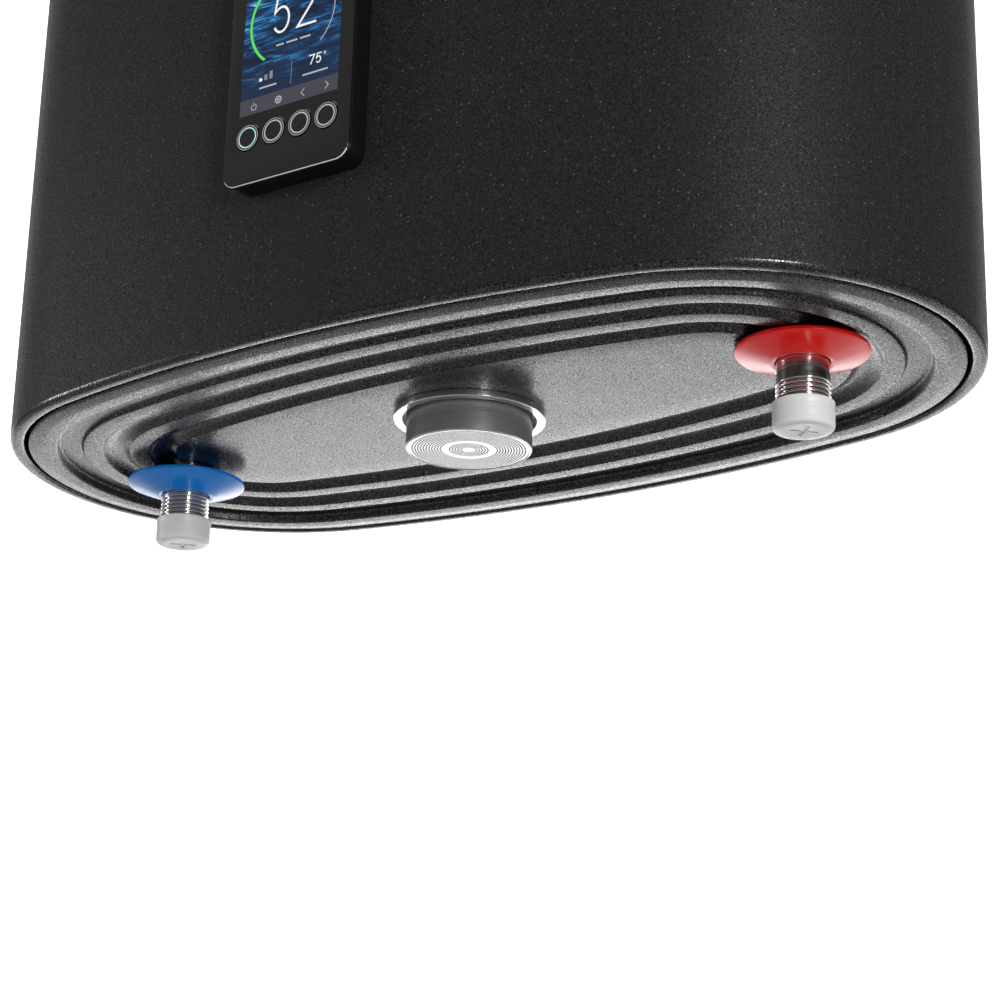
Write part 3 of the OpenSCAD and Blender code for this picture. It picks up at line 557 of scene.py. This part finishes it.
def dress_cad_nodes():
    """Gives every CAD node the procedural material of its slot."""
    for part in frame["record"]["subparts"]:
        mesh = frame["nodes"][part["node"]].data
        mesh.materials.clear()
        mesh.materials.append(SLOT_LOOKS[part["material_slot"]])


dress_cad_nodes()

# ---------- body ----------

SHEET = 1 * MM
HEM_W = 6.2 * MM
HEM_H = 4 * MM
# Height of the cap's middle field above the rim, in millimetres
FIELD_Z = 2.8


def make_shell():
    """The sheet wall with a rolled hem at both ends."""
    outer_r = 3.2 * MM
    lip_r = 2.4 * MM
    fold_r = 1 * MM
    path = rounded([
        (0, RIM_Z, outer_r), (HEM_W, RIM_Z, lip_r), (HEM_W, RIM_Z + HEM_H, fold_r),
        (SHEET, RIM_Z + HEM_H), (SHEET, TOP_Z - HEM_H),
        (HEM_W, TOP_Z - HEM_H, fold_r), (HEM_W, TOP_Z, lip_r), (0, TOP_Z, outer_r),
        (0, (RIM_Z + TOP_Z) / 2),
    ], closed=True, steps=7)
    oval_sweep("shell", path, True, [SHELL_PAINT, CAP_PAINT], "shell_paint", "outer_shell",
               face_look=lambda polygon: 1 if abs(polygon.normal.z) > 0.2 else 0)


def cap_path():
    """The underside of the pressed cap from its edge inwards, as (inset, height) in millimetres."""
    edge_round = 0.9
    groove_depth = 3
    centre = (70.7, FIELD_Z)
    path = [(7.6, 12), (7.6, 0.35, 1.3), (13.8, -0.25, 1.5), (19.9, -0.2, 0.9), (20.6, 3.4, 1.2),
            (30.4, 3.4, 1.2)]
    flats = [((31.1, 1.6), (39.1, 1.6)), ((50.9, 2.2), (58.9, 2.2)), (centre, None)]
    for i, (start, end) in enumerate(flats):
        path.append((*start, edge_round))
        if end:
            path.append((*end, edge_round))
            path += groove(end, flats[i + 1][0], groove_depth)
    return path


def make_cap(name, node, up):
    """A pressed cap at one end of the body. up is 1 at the bottom and -1 at the top."""
    inner = [(82, FIELD_Z), (82, 7.5), (9, 7.5), (9, 12)]
    path = rounded([*cap_path(), inner[0]], steps=4)
    rim = RIM_Z if up == 1 else TOP_Z
    whole = [(i * MM, rim + up * z * MM) for i, z in reversed(path)]
    whole += [(i * MM, rim + up * z * MM) for i, z in reversed(inner[1:])]
    oval_sweep(name, whole, False, CAP_PAINT, "cap_paint", node, sharp=50)


make_shell()
make_cap("cap_below", "bottom_cap", 1)
make_cap("cap_above", "top_cap", -1)

# ---------- pipes, collars and transport caps ----------

PIPE_R = 10.48 * MM
NECK_R = 10.18 * MM
NARROW_R = 8 * MM
BORE_R = 6.9 * MM
THREAD_PITCH = 1.814 * MM
THREAD_DEPTH = 1.1 * MM


def thread_rows(end_z, length, step=0.13 * MM):
    """(height, share of the thread's depth) from the pipe's end to where the thread runs out."""
    rows = []
    count = round(length / step)
    for i in range(count + 1):
        z = i * step
        fade_in = min(1, z / (1.6 * MM))
        fade_out = min(1, (length - z) / (1.0 * MM))
        rows.append((end_z + z, min(fade_in, fade_out)))
    return rows


def make_pipe(name, node, thread_len, neck_grooves):
    """A stub with a helical thread, its plain neck and the pipe above it."""
    low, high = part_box(node)
    x, y = middle(node)
    steps = 96
    rings = []
    for z, depth in thread_rows(low.z, thread_len):
        chamfer = max(0, 0.9 * MM - (z - low.z))
        ring = []
        for k in range(steps):
            turn = ((z - low.z) / THREAD_PITCH - k / steps) % 1
            cut = depth * THREAD_DEPTH * (0.5 - 0.5 * math.cos(TAU * turn)) ** 1.6
            ring.append((PIPE_R - max(cut, chamfer), z))
        rings.append(ring)
    neck_z = low.z + thread_len
    plain = [(NECK_R, neck_z + 0.1 * MM)]
    root_r = NECK_R - 0.45 * MM
    for rise in neck_grooves:
        z = neck_z + rise
        plain += [(NECK_R, z - 0.3 * MM), (root_r, z - 0.15 * MM), (root_r, z + 0.15 * MM),
                  (NECK_R, z + 0.3 * MM)]
    top_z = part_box("cold_inlet_pipe")[1].z
    plain.append((NECK_R, top_z))
    if high.z > top_z + MM:
        plain += [(NARROW_R, top_z), (NARROW_R, high.z)]
    plain += [(BORE_R, plain[-1][1]), (BORE_R, low.z)]
    rings += [[(r, z)] * steps for r, z in plain]
    verts = [
        Vector((x + r * math.cos(TAU * k / steps), y + r * math.sin(TAU * k / steps), z))
        for ring in rings for k, (r, z) in enumerate(ring)
    ]
    faces = grid_faces(len(rings), steps, True, True)
    piece(name, verts, faces, PIPE_STEEL, "heater", "pipe_steel", node, sharp=60)


def make_collar(name, node, rim_drop, looks, slot):
    """A shallow cone that closes the hole round a pipe, with a boss where it hangs below the cap."""
    low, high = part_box(node)
    r = (high.x - low.x) / 2
    x, y = middle(node)
    bore = PIPE_R + 0.12 * MM
    boss_r = PIPE_R + 4 * MM
    rim_z = RIM_Z - rim_drop
    rim_top = rim_z + 1.6 * MM
    path = [
        (bore, low.z, 0.3 * MM), (PIPE_R + 1.7 * MM, low.z, 0.8 * MM),
        (r - 1.1 * MM, rim_z - 0.4 * MM, 1.5 * MM), (r, rim_z + 0.1 * MM, 0.7 * MM),
    ]
    if rim_drop:
        path += [(r, rim_top, 0.5 * MM), (boss_r, rim_top, 1.5 * MM), (boss_r, high.z)]
    else:
        path.append((r, high.z, 0.3 * MM))
    path.append((bore, high.z))
    lathe(name, rounded(path, closed=True), True, looks, "heater", slot, node, place=upright(x, y))


def make_transport_cap(name, node, body):
    """A push-on cap with a bead at its mouth, moulding lines and a plain cross in its end."""
    low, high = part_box(node)
    bead = 0.12 * MM
    r = (high.x - low.x) / 2 - bead
    x, y = middle(node)
    inner_r = r - 0.65 * MM
    inner_z = low.z + 1.5 * MM
    lined = []
    for k in range(3, 9):
        z = low.z + k * MM
        lined += [(r, z - 0.16 * MM), (r - 0.05 * MM, z), (r, z + 0.16 * MM)]
    path = rounded([
        (EYE_R, low.z + 0.35 * MM), (r - 3.2 * MM, low.z + 0.05 * MM, 2 * MM),
        (r - 0.5 * MM, low.z + 0.5 * MM, 1.6 * MM), (r, low.z + 2 * MM, 0.5 * MM), *lined,
        (r, high.z - 1.9 * MM), (r + bead, high.z - 1.5 * MM, 0.2 * MM),
        (r + bead, high.z, 0.3 * MM), (inner_r, high.z, 0.2 * MM),
        (inner_r, inner_z, 0.4 * MM), (EYE_R, inner_z),
    ])
    cap = lathe(name, path, False, CAP_PLASTIC, body, "cap_plastic", node, place=upright(x, y))
    arm_reach = 5.6 * MM
    arm_half = 0.95 * MM
    arm_depth = 0.8 * MM
    cuts = []
    for turn in (45, 135):
        place = upright(x, y, low.z) @ Matrix.Rotation(math.radians(turn), 4, "Z")
        cuts.append(box_mesh((-arm_reach, -arm_half, -MM), (arm_reach, arm_half, arm_depth), place))
    cut_away(cap, cuts)


make_pipe("cold_pipe", "cold_inlet_pipe", 18.5 * MM, [])
make_pipe("hot_pipe", "hot_outlet_pipe", 16.1 * MM, [4.4 * MM])
make_collar("cold_ring", "cold_collar", 3.7 * MM, BLUE_PLASTIC, "blue_plastic")
make_collar("hot_ring", "hot_collar", 0, RED_PLASTIC, "red_plastic")
make_transport_cap("cold_plug", "cold_transport_cap", "cold_cap")
make_transport_cap("hot_plug", "hot_transport_cap", "hot_cap")

# ---------- knob ----------

knob_low, knob_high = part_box("knob_sleeve")
KNOB_X, KNOB_Y = middle("knob_sleeve")
KNOB_R = (knob_high.x - knob_low.x) / 2


def make_knob():
    """A brushed sleeve with a bright chamfered rim, and an end face with fine turned rings whose grooves
    carry painted shade.
    """
    wall = 1.05 * MM
    rim = 0.55 * MM
    path = rounded([
        (KNOB_R - wall, knob_low.z + 0.12 * MM), (KNOB_R - rim - 0.1 * MM, knob_low.z, 0.15 * MM),
        (KNOB_R, knob_low.z + rim, 0.12 * MM), (KNOB_R, knob_high.z, 0.5 * MM),
        (KNOB_R - wall, knob_high.z), (KNOB_R - wall, knob_low.z + 4 * MM),
    ], closed=True)

    def chamfer(polygon):
        return 1 if polygon.center.z < knob_low.z + 0.9 * rim else 0

    lathe("knob_side", path, True, [KNOB_METAL, KNOB_END], "knob", "knob_metal", "knob_sleeve",
          place=upright(KNOB_X, KNOB_Y), steps=192, face_look=chamfer)
    face_r = KNOB_R - wall - 0.04 * MM
    floor_z = knob_low.z + 0.32 * MM
    pitch = 1.15 * MM
    cut_w = 0.6 * MM
    slope = 0.1 * MM
    cut_z = floor_z + 0.3 * MM
    path = [(EYE_R, floor_z)]
    for first, count in ((3 * MM, 5), (11.4 * MM, 11)):
        for i in range(count):
            r = first + i * pitch
            path += [(r, floor_z), (r + slope, cut_z), (r + cut_w - slope, cut_z), (r + cut_w, floor_z)]
    path += [(face_r, floor_z), (face_r, floor_z + 0.9 * MM), (EYE_R, floor_z + 0.9 * MM)]
    lathe("knob_end_face", path, False, [KNOB_END, KNOB_GROOVE_SHADE], "knob", "knob_end", "knob_face",
          place=upright(KNOB_X, KNOB_Y), steps=128, sharp=20,
          # The groove walls and floors take the near-black painted shade.
          face_look=lambda polygon: 1 if floor_z + 0.1 * MM < polygon.center.z < floor_z + 0.4 * MM else 0)


def make_bezel():
    """The ring round the knob, with a sleeve up through the cap and a drilled plate at its top."""
    low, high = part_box("knob_bezel")
    hole_r = 4.6 * MM
    plate_z = high.z - 2 * MM
    r = (high.x - low.x) / 2
    bore = KNOB_R + 1.7 * MM
    sleeve = bore + 1.2 * MM
    cap_z = RIM_Z + FIELD_Z * MM
    path = rounded([
        (hole_r, plate_z), (bore, plate_z), (bore, low.z + 0.3 * MM, 0.3 * MM),
        (bore + 0.35 * MM, low.z, 0.2 * MM), (r - 0.3 * MM, low.z, 0.15 * MM),
        (r, low.z + 0.3 * MM, 0.15 * MM), (r, cap_z - 0.1 * MM, 0.1 * MM), (sleeve, cap_z - 0.1 * MM),
        (sleeve, high.z), (hole_r, high.z),
    ], closed=True)
    lathe("knob_ring", path, True, BEZEL_METAL, "heater", "bezel_metal", "knob_bezel",
          place=upright(KNOB_X, KNOB_Y), steps=192)


make_knob()
make_bezel()

# ---------- control panel ----------

glass_low, glass_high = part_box("panel_glass")
housing_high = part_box("panel_housing")[1]
FRONT_Y = glass_low.y
PANEL_X = (glass_low.x + glass_high.x) / 2
PANEL_W = glass_high.x - glass_low.x
PANEL_H = glass_high.z - glass_low.z
CORNER_R = 6 * MM
BUTTONS = ["button_1", "button_2", "button_3", "button_4"]


def rounded_rectangle(w, h, r, steps=10):
    """An outline round the origin."""
    outline = []
    for cx, cy, start in ((1, 1, 0), (-1, 1, 90), (-1, -1, 180), (1, -1, 270)):
        centre = (cx * (w / 2 - r), cy * (h / 2 - r))
        outline += arc(centre, r, start, start + 90, steps)
    return outline


def on_panel(proud):
    """Places drawings made in millimetres from the panel's middle line and the body's rim."""
    return facing_front(PANEL_X, FRONT_Y - proud, RIM_Z)


def make_panel():
    """The glass with round holes for the keys and a painted highlight along its lower front bevel, and the
    housing behind it.
    """
    key_hole_r = 5.55 * MM
    mid_z = (glass_low.z + glass_high.z) / 2
    holes = []
    for name in BUTTONS:
        low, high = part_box(name)
        centre = ((low.x + high.x) / 2 - PANEL_X, (low.z + high.z) / 2 - mid_z)
        holes.append(arc(centre, key_hole_r, 0, 355, 71))
    thick = glass_high.y - glass_low.y
    solid_from_outlines(
        "panel_front", [rounded_rectangle(PANEL_W, PANEL_H, CORNER_R), *holes], thick, 0.4 * MM,
        facing_front(PANEL_X, FRONT_Y + thick / 2, mid_z), [PANEL_GLASS, PANEL_EDGE_HIGHLIGHT], "heater",
        "panel_glass", "panel_glass", sharp=40,
        # Faces of the lower front bevel take the near-white painted highlight.
        face_look=lambda polygon: 1 if -0.95 < polygon.normal.y < -0.1 and polygon.normal.z < -0.25
        and polygon.center.z < glass_low.z + CORNER_R / 2 else 0)
    back_y = housing_high.y
    depth = back_y - glass_high.y
    solid_from_outlines(
        "panel_body", [rounded_rectangle(PANEL_W - 0.3 * MM, PANEL_H - 0.3 * MM, CORNER_R)], depth,
        0.2 * MM, facing_front(PANEL_X, glass_high.y + depth / 2, mid_z), PANEL_PLASTIC, "heater",
        "panel_plastic", "panel_housing", sharp=40)


def make_button(name, body, ring):
    """A black key with two bright rings, the outer one thin."""
    low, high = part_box(name)
    place = facing_front((low.x + high.x) / 2, low.y, (low.z + high.z) / 2)
    edges = [0.02, 3.8, 3.82, 4.3, 4.32, 4.85, 4.87, 5.14, 5.16, 5.3]
    levels = [0.0, 0.0, 0.02, 0.02, 0.0, 0.0, 0.02, 0.02, 0.0, -0.08]
    path = [(r * MM, (z - 0.06) * MM) for r, z in zip(edges, levels)]
    path += [(5.3 * MM, -1.9 * MM), (EYE_R, -1.9 * MM)]

    def lit(polygon):
        local = place.inverted() @ polygon.center
        r = math.hypot(local.x, local.y) / MM
        front = local.z > -0.1 * MM
        return 1 if front and 3.8 < r < 4.32 else 2 if front and 4.85 < r < 5.16 else 0

    lathe(f"{name}_key", path, False, [PANEL_GLASS, ring, RING_DIM], body, "button_black", name,
          place=place, steps=72, face_look=lit)


RING_WHITE = glow("ring_white", (0.85, 0.83, 0.8), 0.62)
RING_CYAN = glow("ring_cyan", (0.55, 0.95, 1.0), 0.85)
RING_DIM = glow("ring_dim", (0.8, 0.8, 0.78), 0.42)
WHITE_MARK = glow("white_mark", (0.93, 0.95, 1.0), 1.0)
SOFT_MARK = glow("soft_mark", (0.72, 0.76, 0.84), 0.62)
DIM_MARK = glow("dim_mark", (0.5, 0.52, 0.58), 0.45)
GREEN_MARK = glow("green_mark", (0.12, 0.78, 0.1), 0.95)
STRIP_GREY = glow("strip_grey", (0.052, 0.049, 0.064), 1.0)

SCREEN_X = (-23.4, 23.8)
SCREEN_Z = (88.4, 163.4)
STRIP_TOP = 95.2


def ribbon(path, width):
    """A flat stroke of one width along an open path, as (left edge, right edge)."""
    left, right = [], []
    points = [Vector(p) for p in path]
    for i, point in enumerate(points):
        before = (point - points[i - 1]).normalized() if i else None
        after = (points[i + 1] - point).normalized() if i + 1 < len(points) else None
        along = ((before or after) + (after or before)).normalized()
        side = Vector((-along.y, along.x))
        lean = abs(side.dot(Vector((-(after or before).y, (after or before).x))))
        offset = side * width / 2 / max(lean, 0.4)
        left.append(point + offset)
        right.append(point - offset)
    return left, right


def draw(name, strokes, look, proud):
    """Thin raised strokes on the panel. Each stroke is (path, width), in millimetres."""
    thick = 0.02
    place = on_panel(proud * MM)
    verts, faces = [], []
    for path, width in strokes:
        left, right = ribbon(path, width)
        start = len(verts)
        for a, b in zip(left, right):
            for point, z in ((a, thick), (b, thick), (b, 0), (a, 0)):
                verts.append(place @ Vector((point.x * MM, point.y * MM, z * MM)))
        faces += [tuple(start + i for i in f) for f in grid_faces(len(left), 4, False, True)]
        last = start + 4 * (len(left) - 1)
        faces += [(start, start + 1, start + 2, start + 3), (last, last + 1, last + 2, last + 3)]
    return piece(name, verts, faces, look, "heater", "screen")


def digit(number, x, z, w, h):
    """The centre line of a plain digit whose lower left corner is at x, z."""
    shapes = {
        2: [*arc((0.48, 0.71), 0.29, 165, -38, 14), (0.06, 0.0), (0.95, 0.0)],
        5: [(0.86, 1.0), (0.26, 1.0), (0.14, 0.54), *arc((0.44, 0.33), 0.33, 118, -148, 16)],
        7: [(0.04, 1.0), (0.9, 1.0), (0.34, 0.0)],
    }
    return [(x + u * w, z + v * h) for u, v in shapes[number]]


def make_screen():
    """The lit picture, then what is drawn over it, each a hair in front of the last."""
    low_z = RIM_Z + SCREEN_Z[0] * MM
    high_z = RIM_Z + SCREEN_Z[1] * MM
    picture = sea_picture("sea_picture", low_z, high_z)
    mid_x = sum(SCREEN_X) / 2
    wide = SCREEN_X[1] - SCREEN_X[0]
    background = draw("screen_picture", [([(mid_x, SCREEN_Z[0]), (mid_x, SCREEN_Z[1])], wide)], picture, 0.01)
    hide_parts("display_module")
    draw("screen_strip", [([(mid_x, SCREEN_Z[0]), (mid_x, STRIP_TOP)], wide)], STRIP_GREY, 0.03)
    gauge = (0.2, 126.2)
    draw("screen_gauge_on", [(arc(gauge, 20.3, 231, 75, 60), 1.15)], GREEN_MARK, 0.05)
    draw("screen_gauge_off", [(arc(gauge, 20.4, 66, -46, 44), 0.4)], SOFT_MARK, 0.05)
    big = [(digit(5, -10.2, 120.4, 11.2, 16.5), 0.95), (digit(2, 2.2, 120.4, 10.2, 16.5), 0.95)]
    small = [(digit(7, 9.2, 102.2, 3.1, 3.9), 0.5), (digit(5, 12.6, 102.2, 3.1, 3.9), 0.5),
             (arc((16.9, 105.6), 0.45, 0, 360, 12), 0.22)]
    level = [([(x, 101.5), (x, 101.5 + h)], 1.5) for x, h in ((-13.9, 1.3), (-11.4, 2.3), (-8.9, 3.3))]
    draw("screen_digits", big + small, WHITE_MARK, 0.07)
    draw("screen_level", level[:1], WHITE_MARK, 0.07)
    dashes = [([(x0, 115), (x1, 115)], 0.75) for x0, x1 in ((-7.2, -3.4), (-2.2, 3.2), (4.4, 9.4))]
    dashes += [([(-14.4, 98.6), (-6.0, 98.6)], 0.7), ([(6.6, 98.6), (18.6, 98.6)], 0.7)]
    draw("screen_captions", dashes, SOFT_MARK, 0.05)
    dim = level[1:] + [([(1.0, 96.6), (1.0, 106.4)], 0.25)]
    draw("screen_separator", dim, DIM_MARK, 0.05)
    icons = [
        (arc((-16.6, 91.3), 1.25, 125, 415, 20), 0.32), ([(-16.6, 91.7), (-16.6, 93.1)], 0.32),
        (arc((-4.6, 91.4), 1.35, 0, 360, 24), 0.5), (arc((-4.6, 91.4), 0.5, 0, 360, 14), 0.4),
        ([(7.9, 93.0), (6.4, 91.4), (7.9, 89.8)], 0.34), ([(17.8, 93.2), (19.3, 91.6), (17.8, 90.0)], 0.34),
    ]
    draw("screen_icons", icons, SOFT_MARK, 0.05)


make_panel()
for number, name in enumerate(BUTTONS, start=1):
    make_button(name, f"key_{number}", RING_CYAN if number == 1 else RING_WHITE)
make_screen()

# ---------- camera, floor and light ----------

# Which way the camera looks, in degrees from straight at the front
VIEW_AZIMUTH = 33.93
CAMERA_PLACE = (0.5303, -0.8975, -1.03)


def add_camera():
    """Looks up at the body's underside from the front right."""
    azimuth, pitch, roll = (math.radians(a) for a in (VIEW_AZIMUTH, 17.67, 1.41))
    forward = Vector((-math.sin(azimuth) * math.cos(pitch), math.cos(azimuth) * math.cos(pitch),
                      math.sin(pitch)))
    side = Vector((math.cos(azimuth), math.sin(azimuth), 0))
    above = side.cross(forward)
    right = math.cos(roll) * side + math.sin(roll) * above
    up = math.cos(roll) * above - math.sin(roll) * side
    camera = bpy.data.cameras.new("camera")
    camera.lens = 86.58
    camera.sensor_width = 36
    camera.clip_end = 60
    held = bpy.data.objects.new("camera", camera)
    held.matrix_world = Matrix.Translation(CAMERA_PLACE) @ Matrix(
        (right, up, -forward)).transposed().to_4x4()
    bpy.context.scene.collection.objects.link(held)
    bpy.context.scene.camera = held


def add_floor():
    """A wide grey floor well below the body, as this part hangs on a wall."""
    half = 14
    z = FLOOR_Z
    mesh = bpy.data.meshes.new("floor")
    mesh.from_pydata([(-half, -half, z), (half, -half, z), (half, half, z), (-half, half, z)], [],
                     [(0, 1, 2, 3)])
    look = Look("floor_paint", (0.5, 0.5, 0.5), 0.7, specular=0.1)
    look.mottle(2, 0.01)
    mesh.materials.append(look.material)
    floor = bpy.data.objects.new("floor", mesh)
    bpy.context.scene.collection.objects.link(floor)


def add_light(name, place, target, size, power, spread=180):
    """A rectangular lamp aimed at a point. Spread is the angle that it lights, in degrees."""
    light = bpy.data.lights.new(name, "AREA")
    light.shape = "RECTANGLE"
    light.size, light.size_y = size
    light.energy = power
    light.spread = math.radians(spread)
    held = bpy.data.objects.new(name, light)
    held.location = place
    held.rotation_euler = (Vector(target) - Vector(place)).to_track_quat("-Z", "Y").to_euler()
    bpy.context.scene.collection.objects.link(held)


def add_world():
    """A dim, plain studio, a little lighter overhead."""
    world = bpy.data.worlds.new("studio")
    bpy.context.scene.world = world
    world.use_nodes = True
    tree = world.node_tree
    source = tree.nodes.new("ShaderNodeTexCoord")
    split = tree.nodes.new("ShaderNodeSeparateXYZ")
    tree.links.new(source.outputs["Generated"], split.inputs["Vector"])
    fade = tree.nodes.new("ShaderNodeMapRange")
    for key, value in (("From Min", -0.1), ("From Max", 0.3), ("To Min", 0.04), ("To Max", 0.3)):
        fade.inputs[key].default_value = value
    tree.links.new(split.outputs["Z"], fade.inputs["Value"])
    tree.links.new(fade.outputs["Result"], tree.nodes["Background"].inputs["Strength"])
    tree.nodes["Background"].inputs["Color"].default_value = (1, 1, 1, 1)


def add_backdrop():
    """A lit white sheet behind the body, square to the view."""
    distance = 3.4
    half_w = 2.6
    top_z = 3.2
    turn = math.radians(VIEW_AZIMUTH)
    away = Vector((-math.sin(turn), math.cos(turn), 0))
    along = Vector((math.cos(turn), math.sin(turn), 0))
    middle_point = Vector((0, MID_Y, 0)) + away * distance
    verts = [middle_point + along * (x * half_w) + Vector((0, 0, z))
             for x, z in ((-1, FLOOR_Z), (1, FLOOR_Z), (1, top_z), (-1, top_z))]
    mesh = bpy.data.meshes.new("backdrop")
    mesh.from_pydata([tuple(v) for v in verts], [], [(0, 1, 2, 3)])
    look = Look("backdrop_paint", (0.8, 0.8, 0.8), 0.9)
    look.set("Emission Color", (1, 1, 1, 1))
    look.set("Emission Strength", 1.25)
    mesh.materials.append(look.material)
    sheet = bpy.data.objects.new("backdrop", mesh)
    bpy.context.scene.collection.objects.link(sheet)


bpy.context.scene.view_settings.view_transform = "Standard"
add_camera()
add_floor()
add_world()
add_backdrop()
TARGET = (0, MID_Y, RIM_Z)
add_light("key", (-2.9, -1.6, -0.45), TARGET, (0.6, 1.3), 26)
add_light("front_right", (2.6, -1.9, -0.45), TARGET, (0.5, 1.3), 62)
add_light("floor_light", (-1.2, 2.1, 0.9), (-1.3, 2.2, FLOOR_Z), (1.7, 1.3), 58, spread=65)
add_light("floor_pool", (0.6, 1.3, 0.2), (0.45, 1.2, FLOOR_Z), (0.5, 0.5), 9, spread=50)
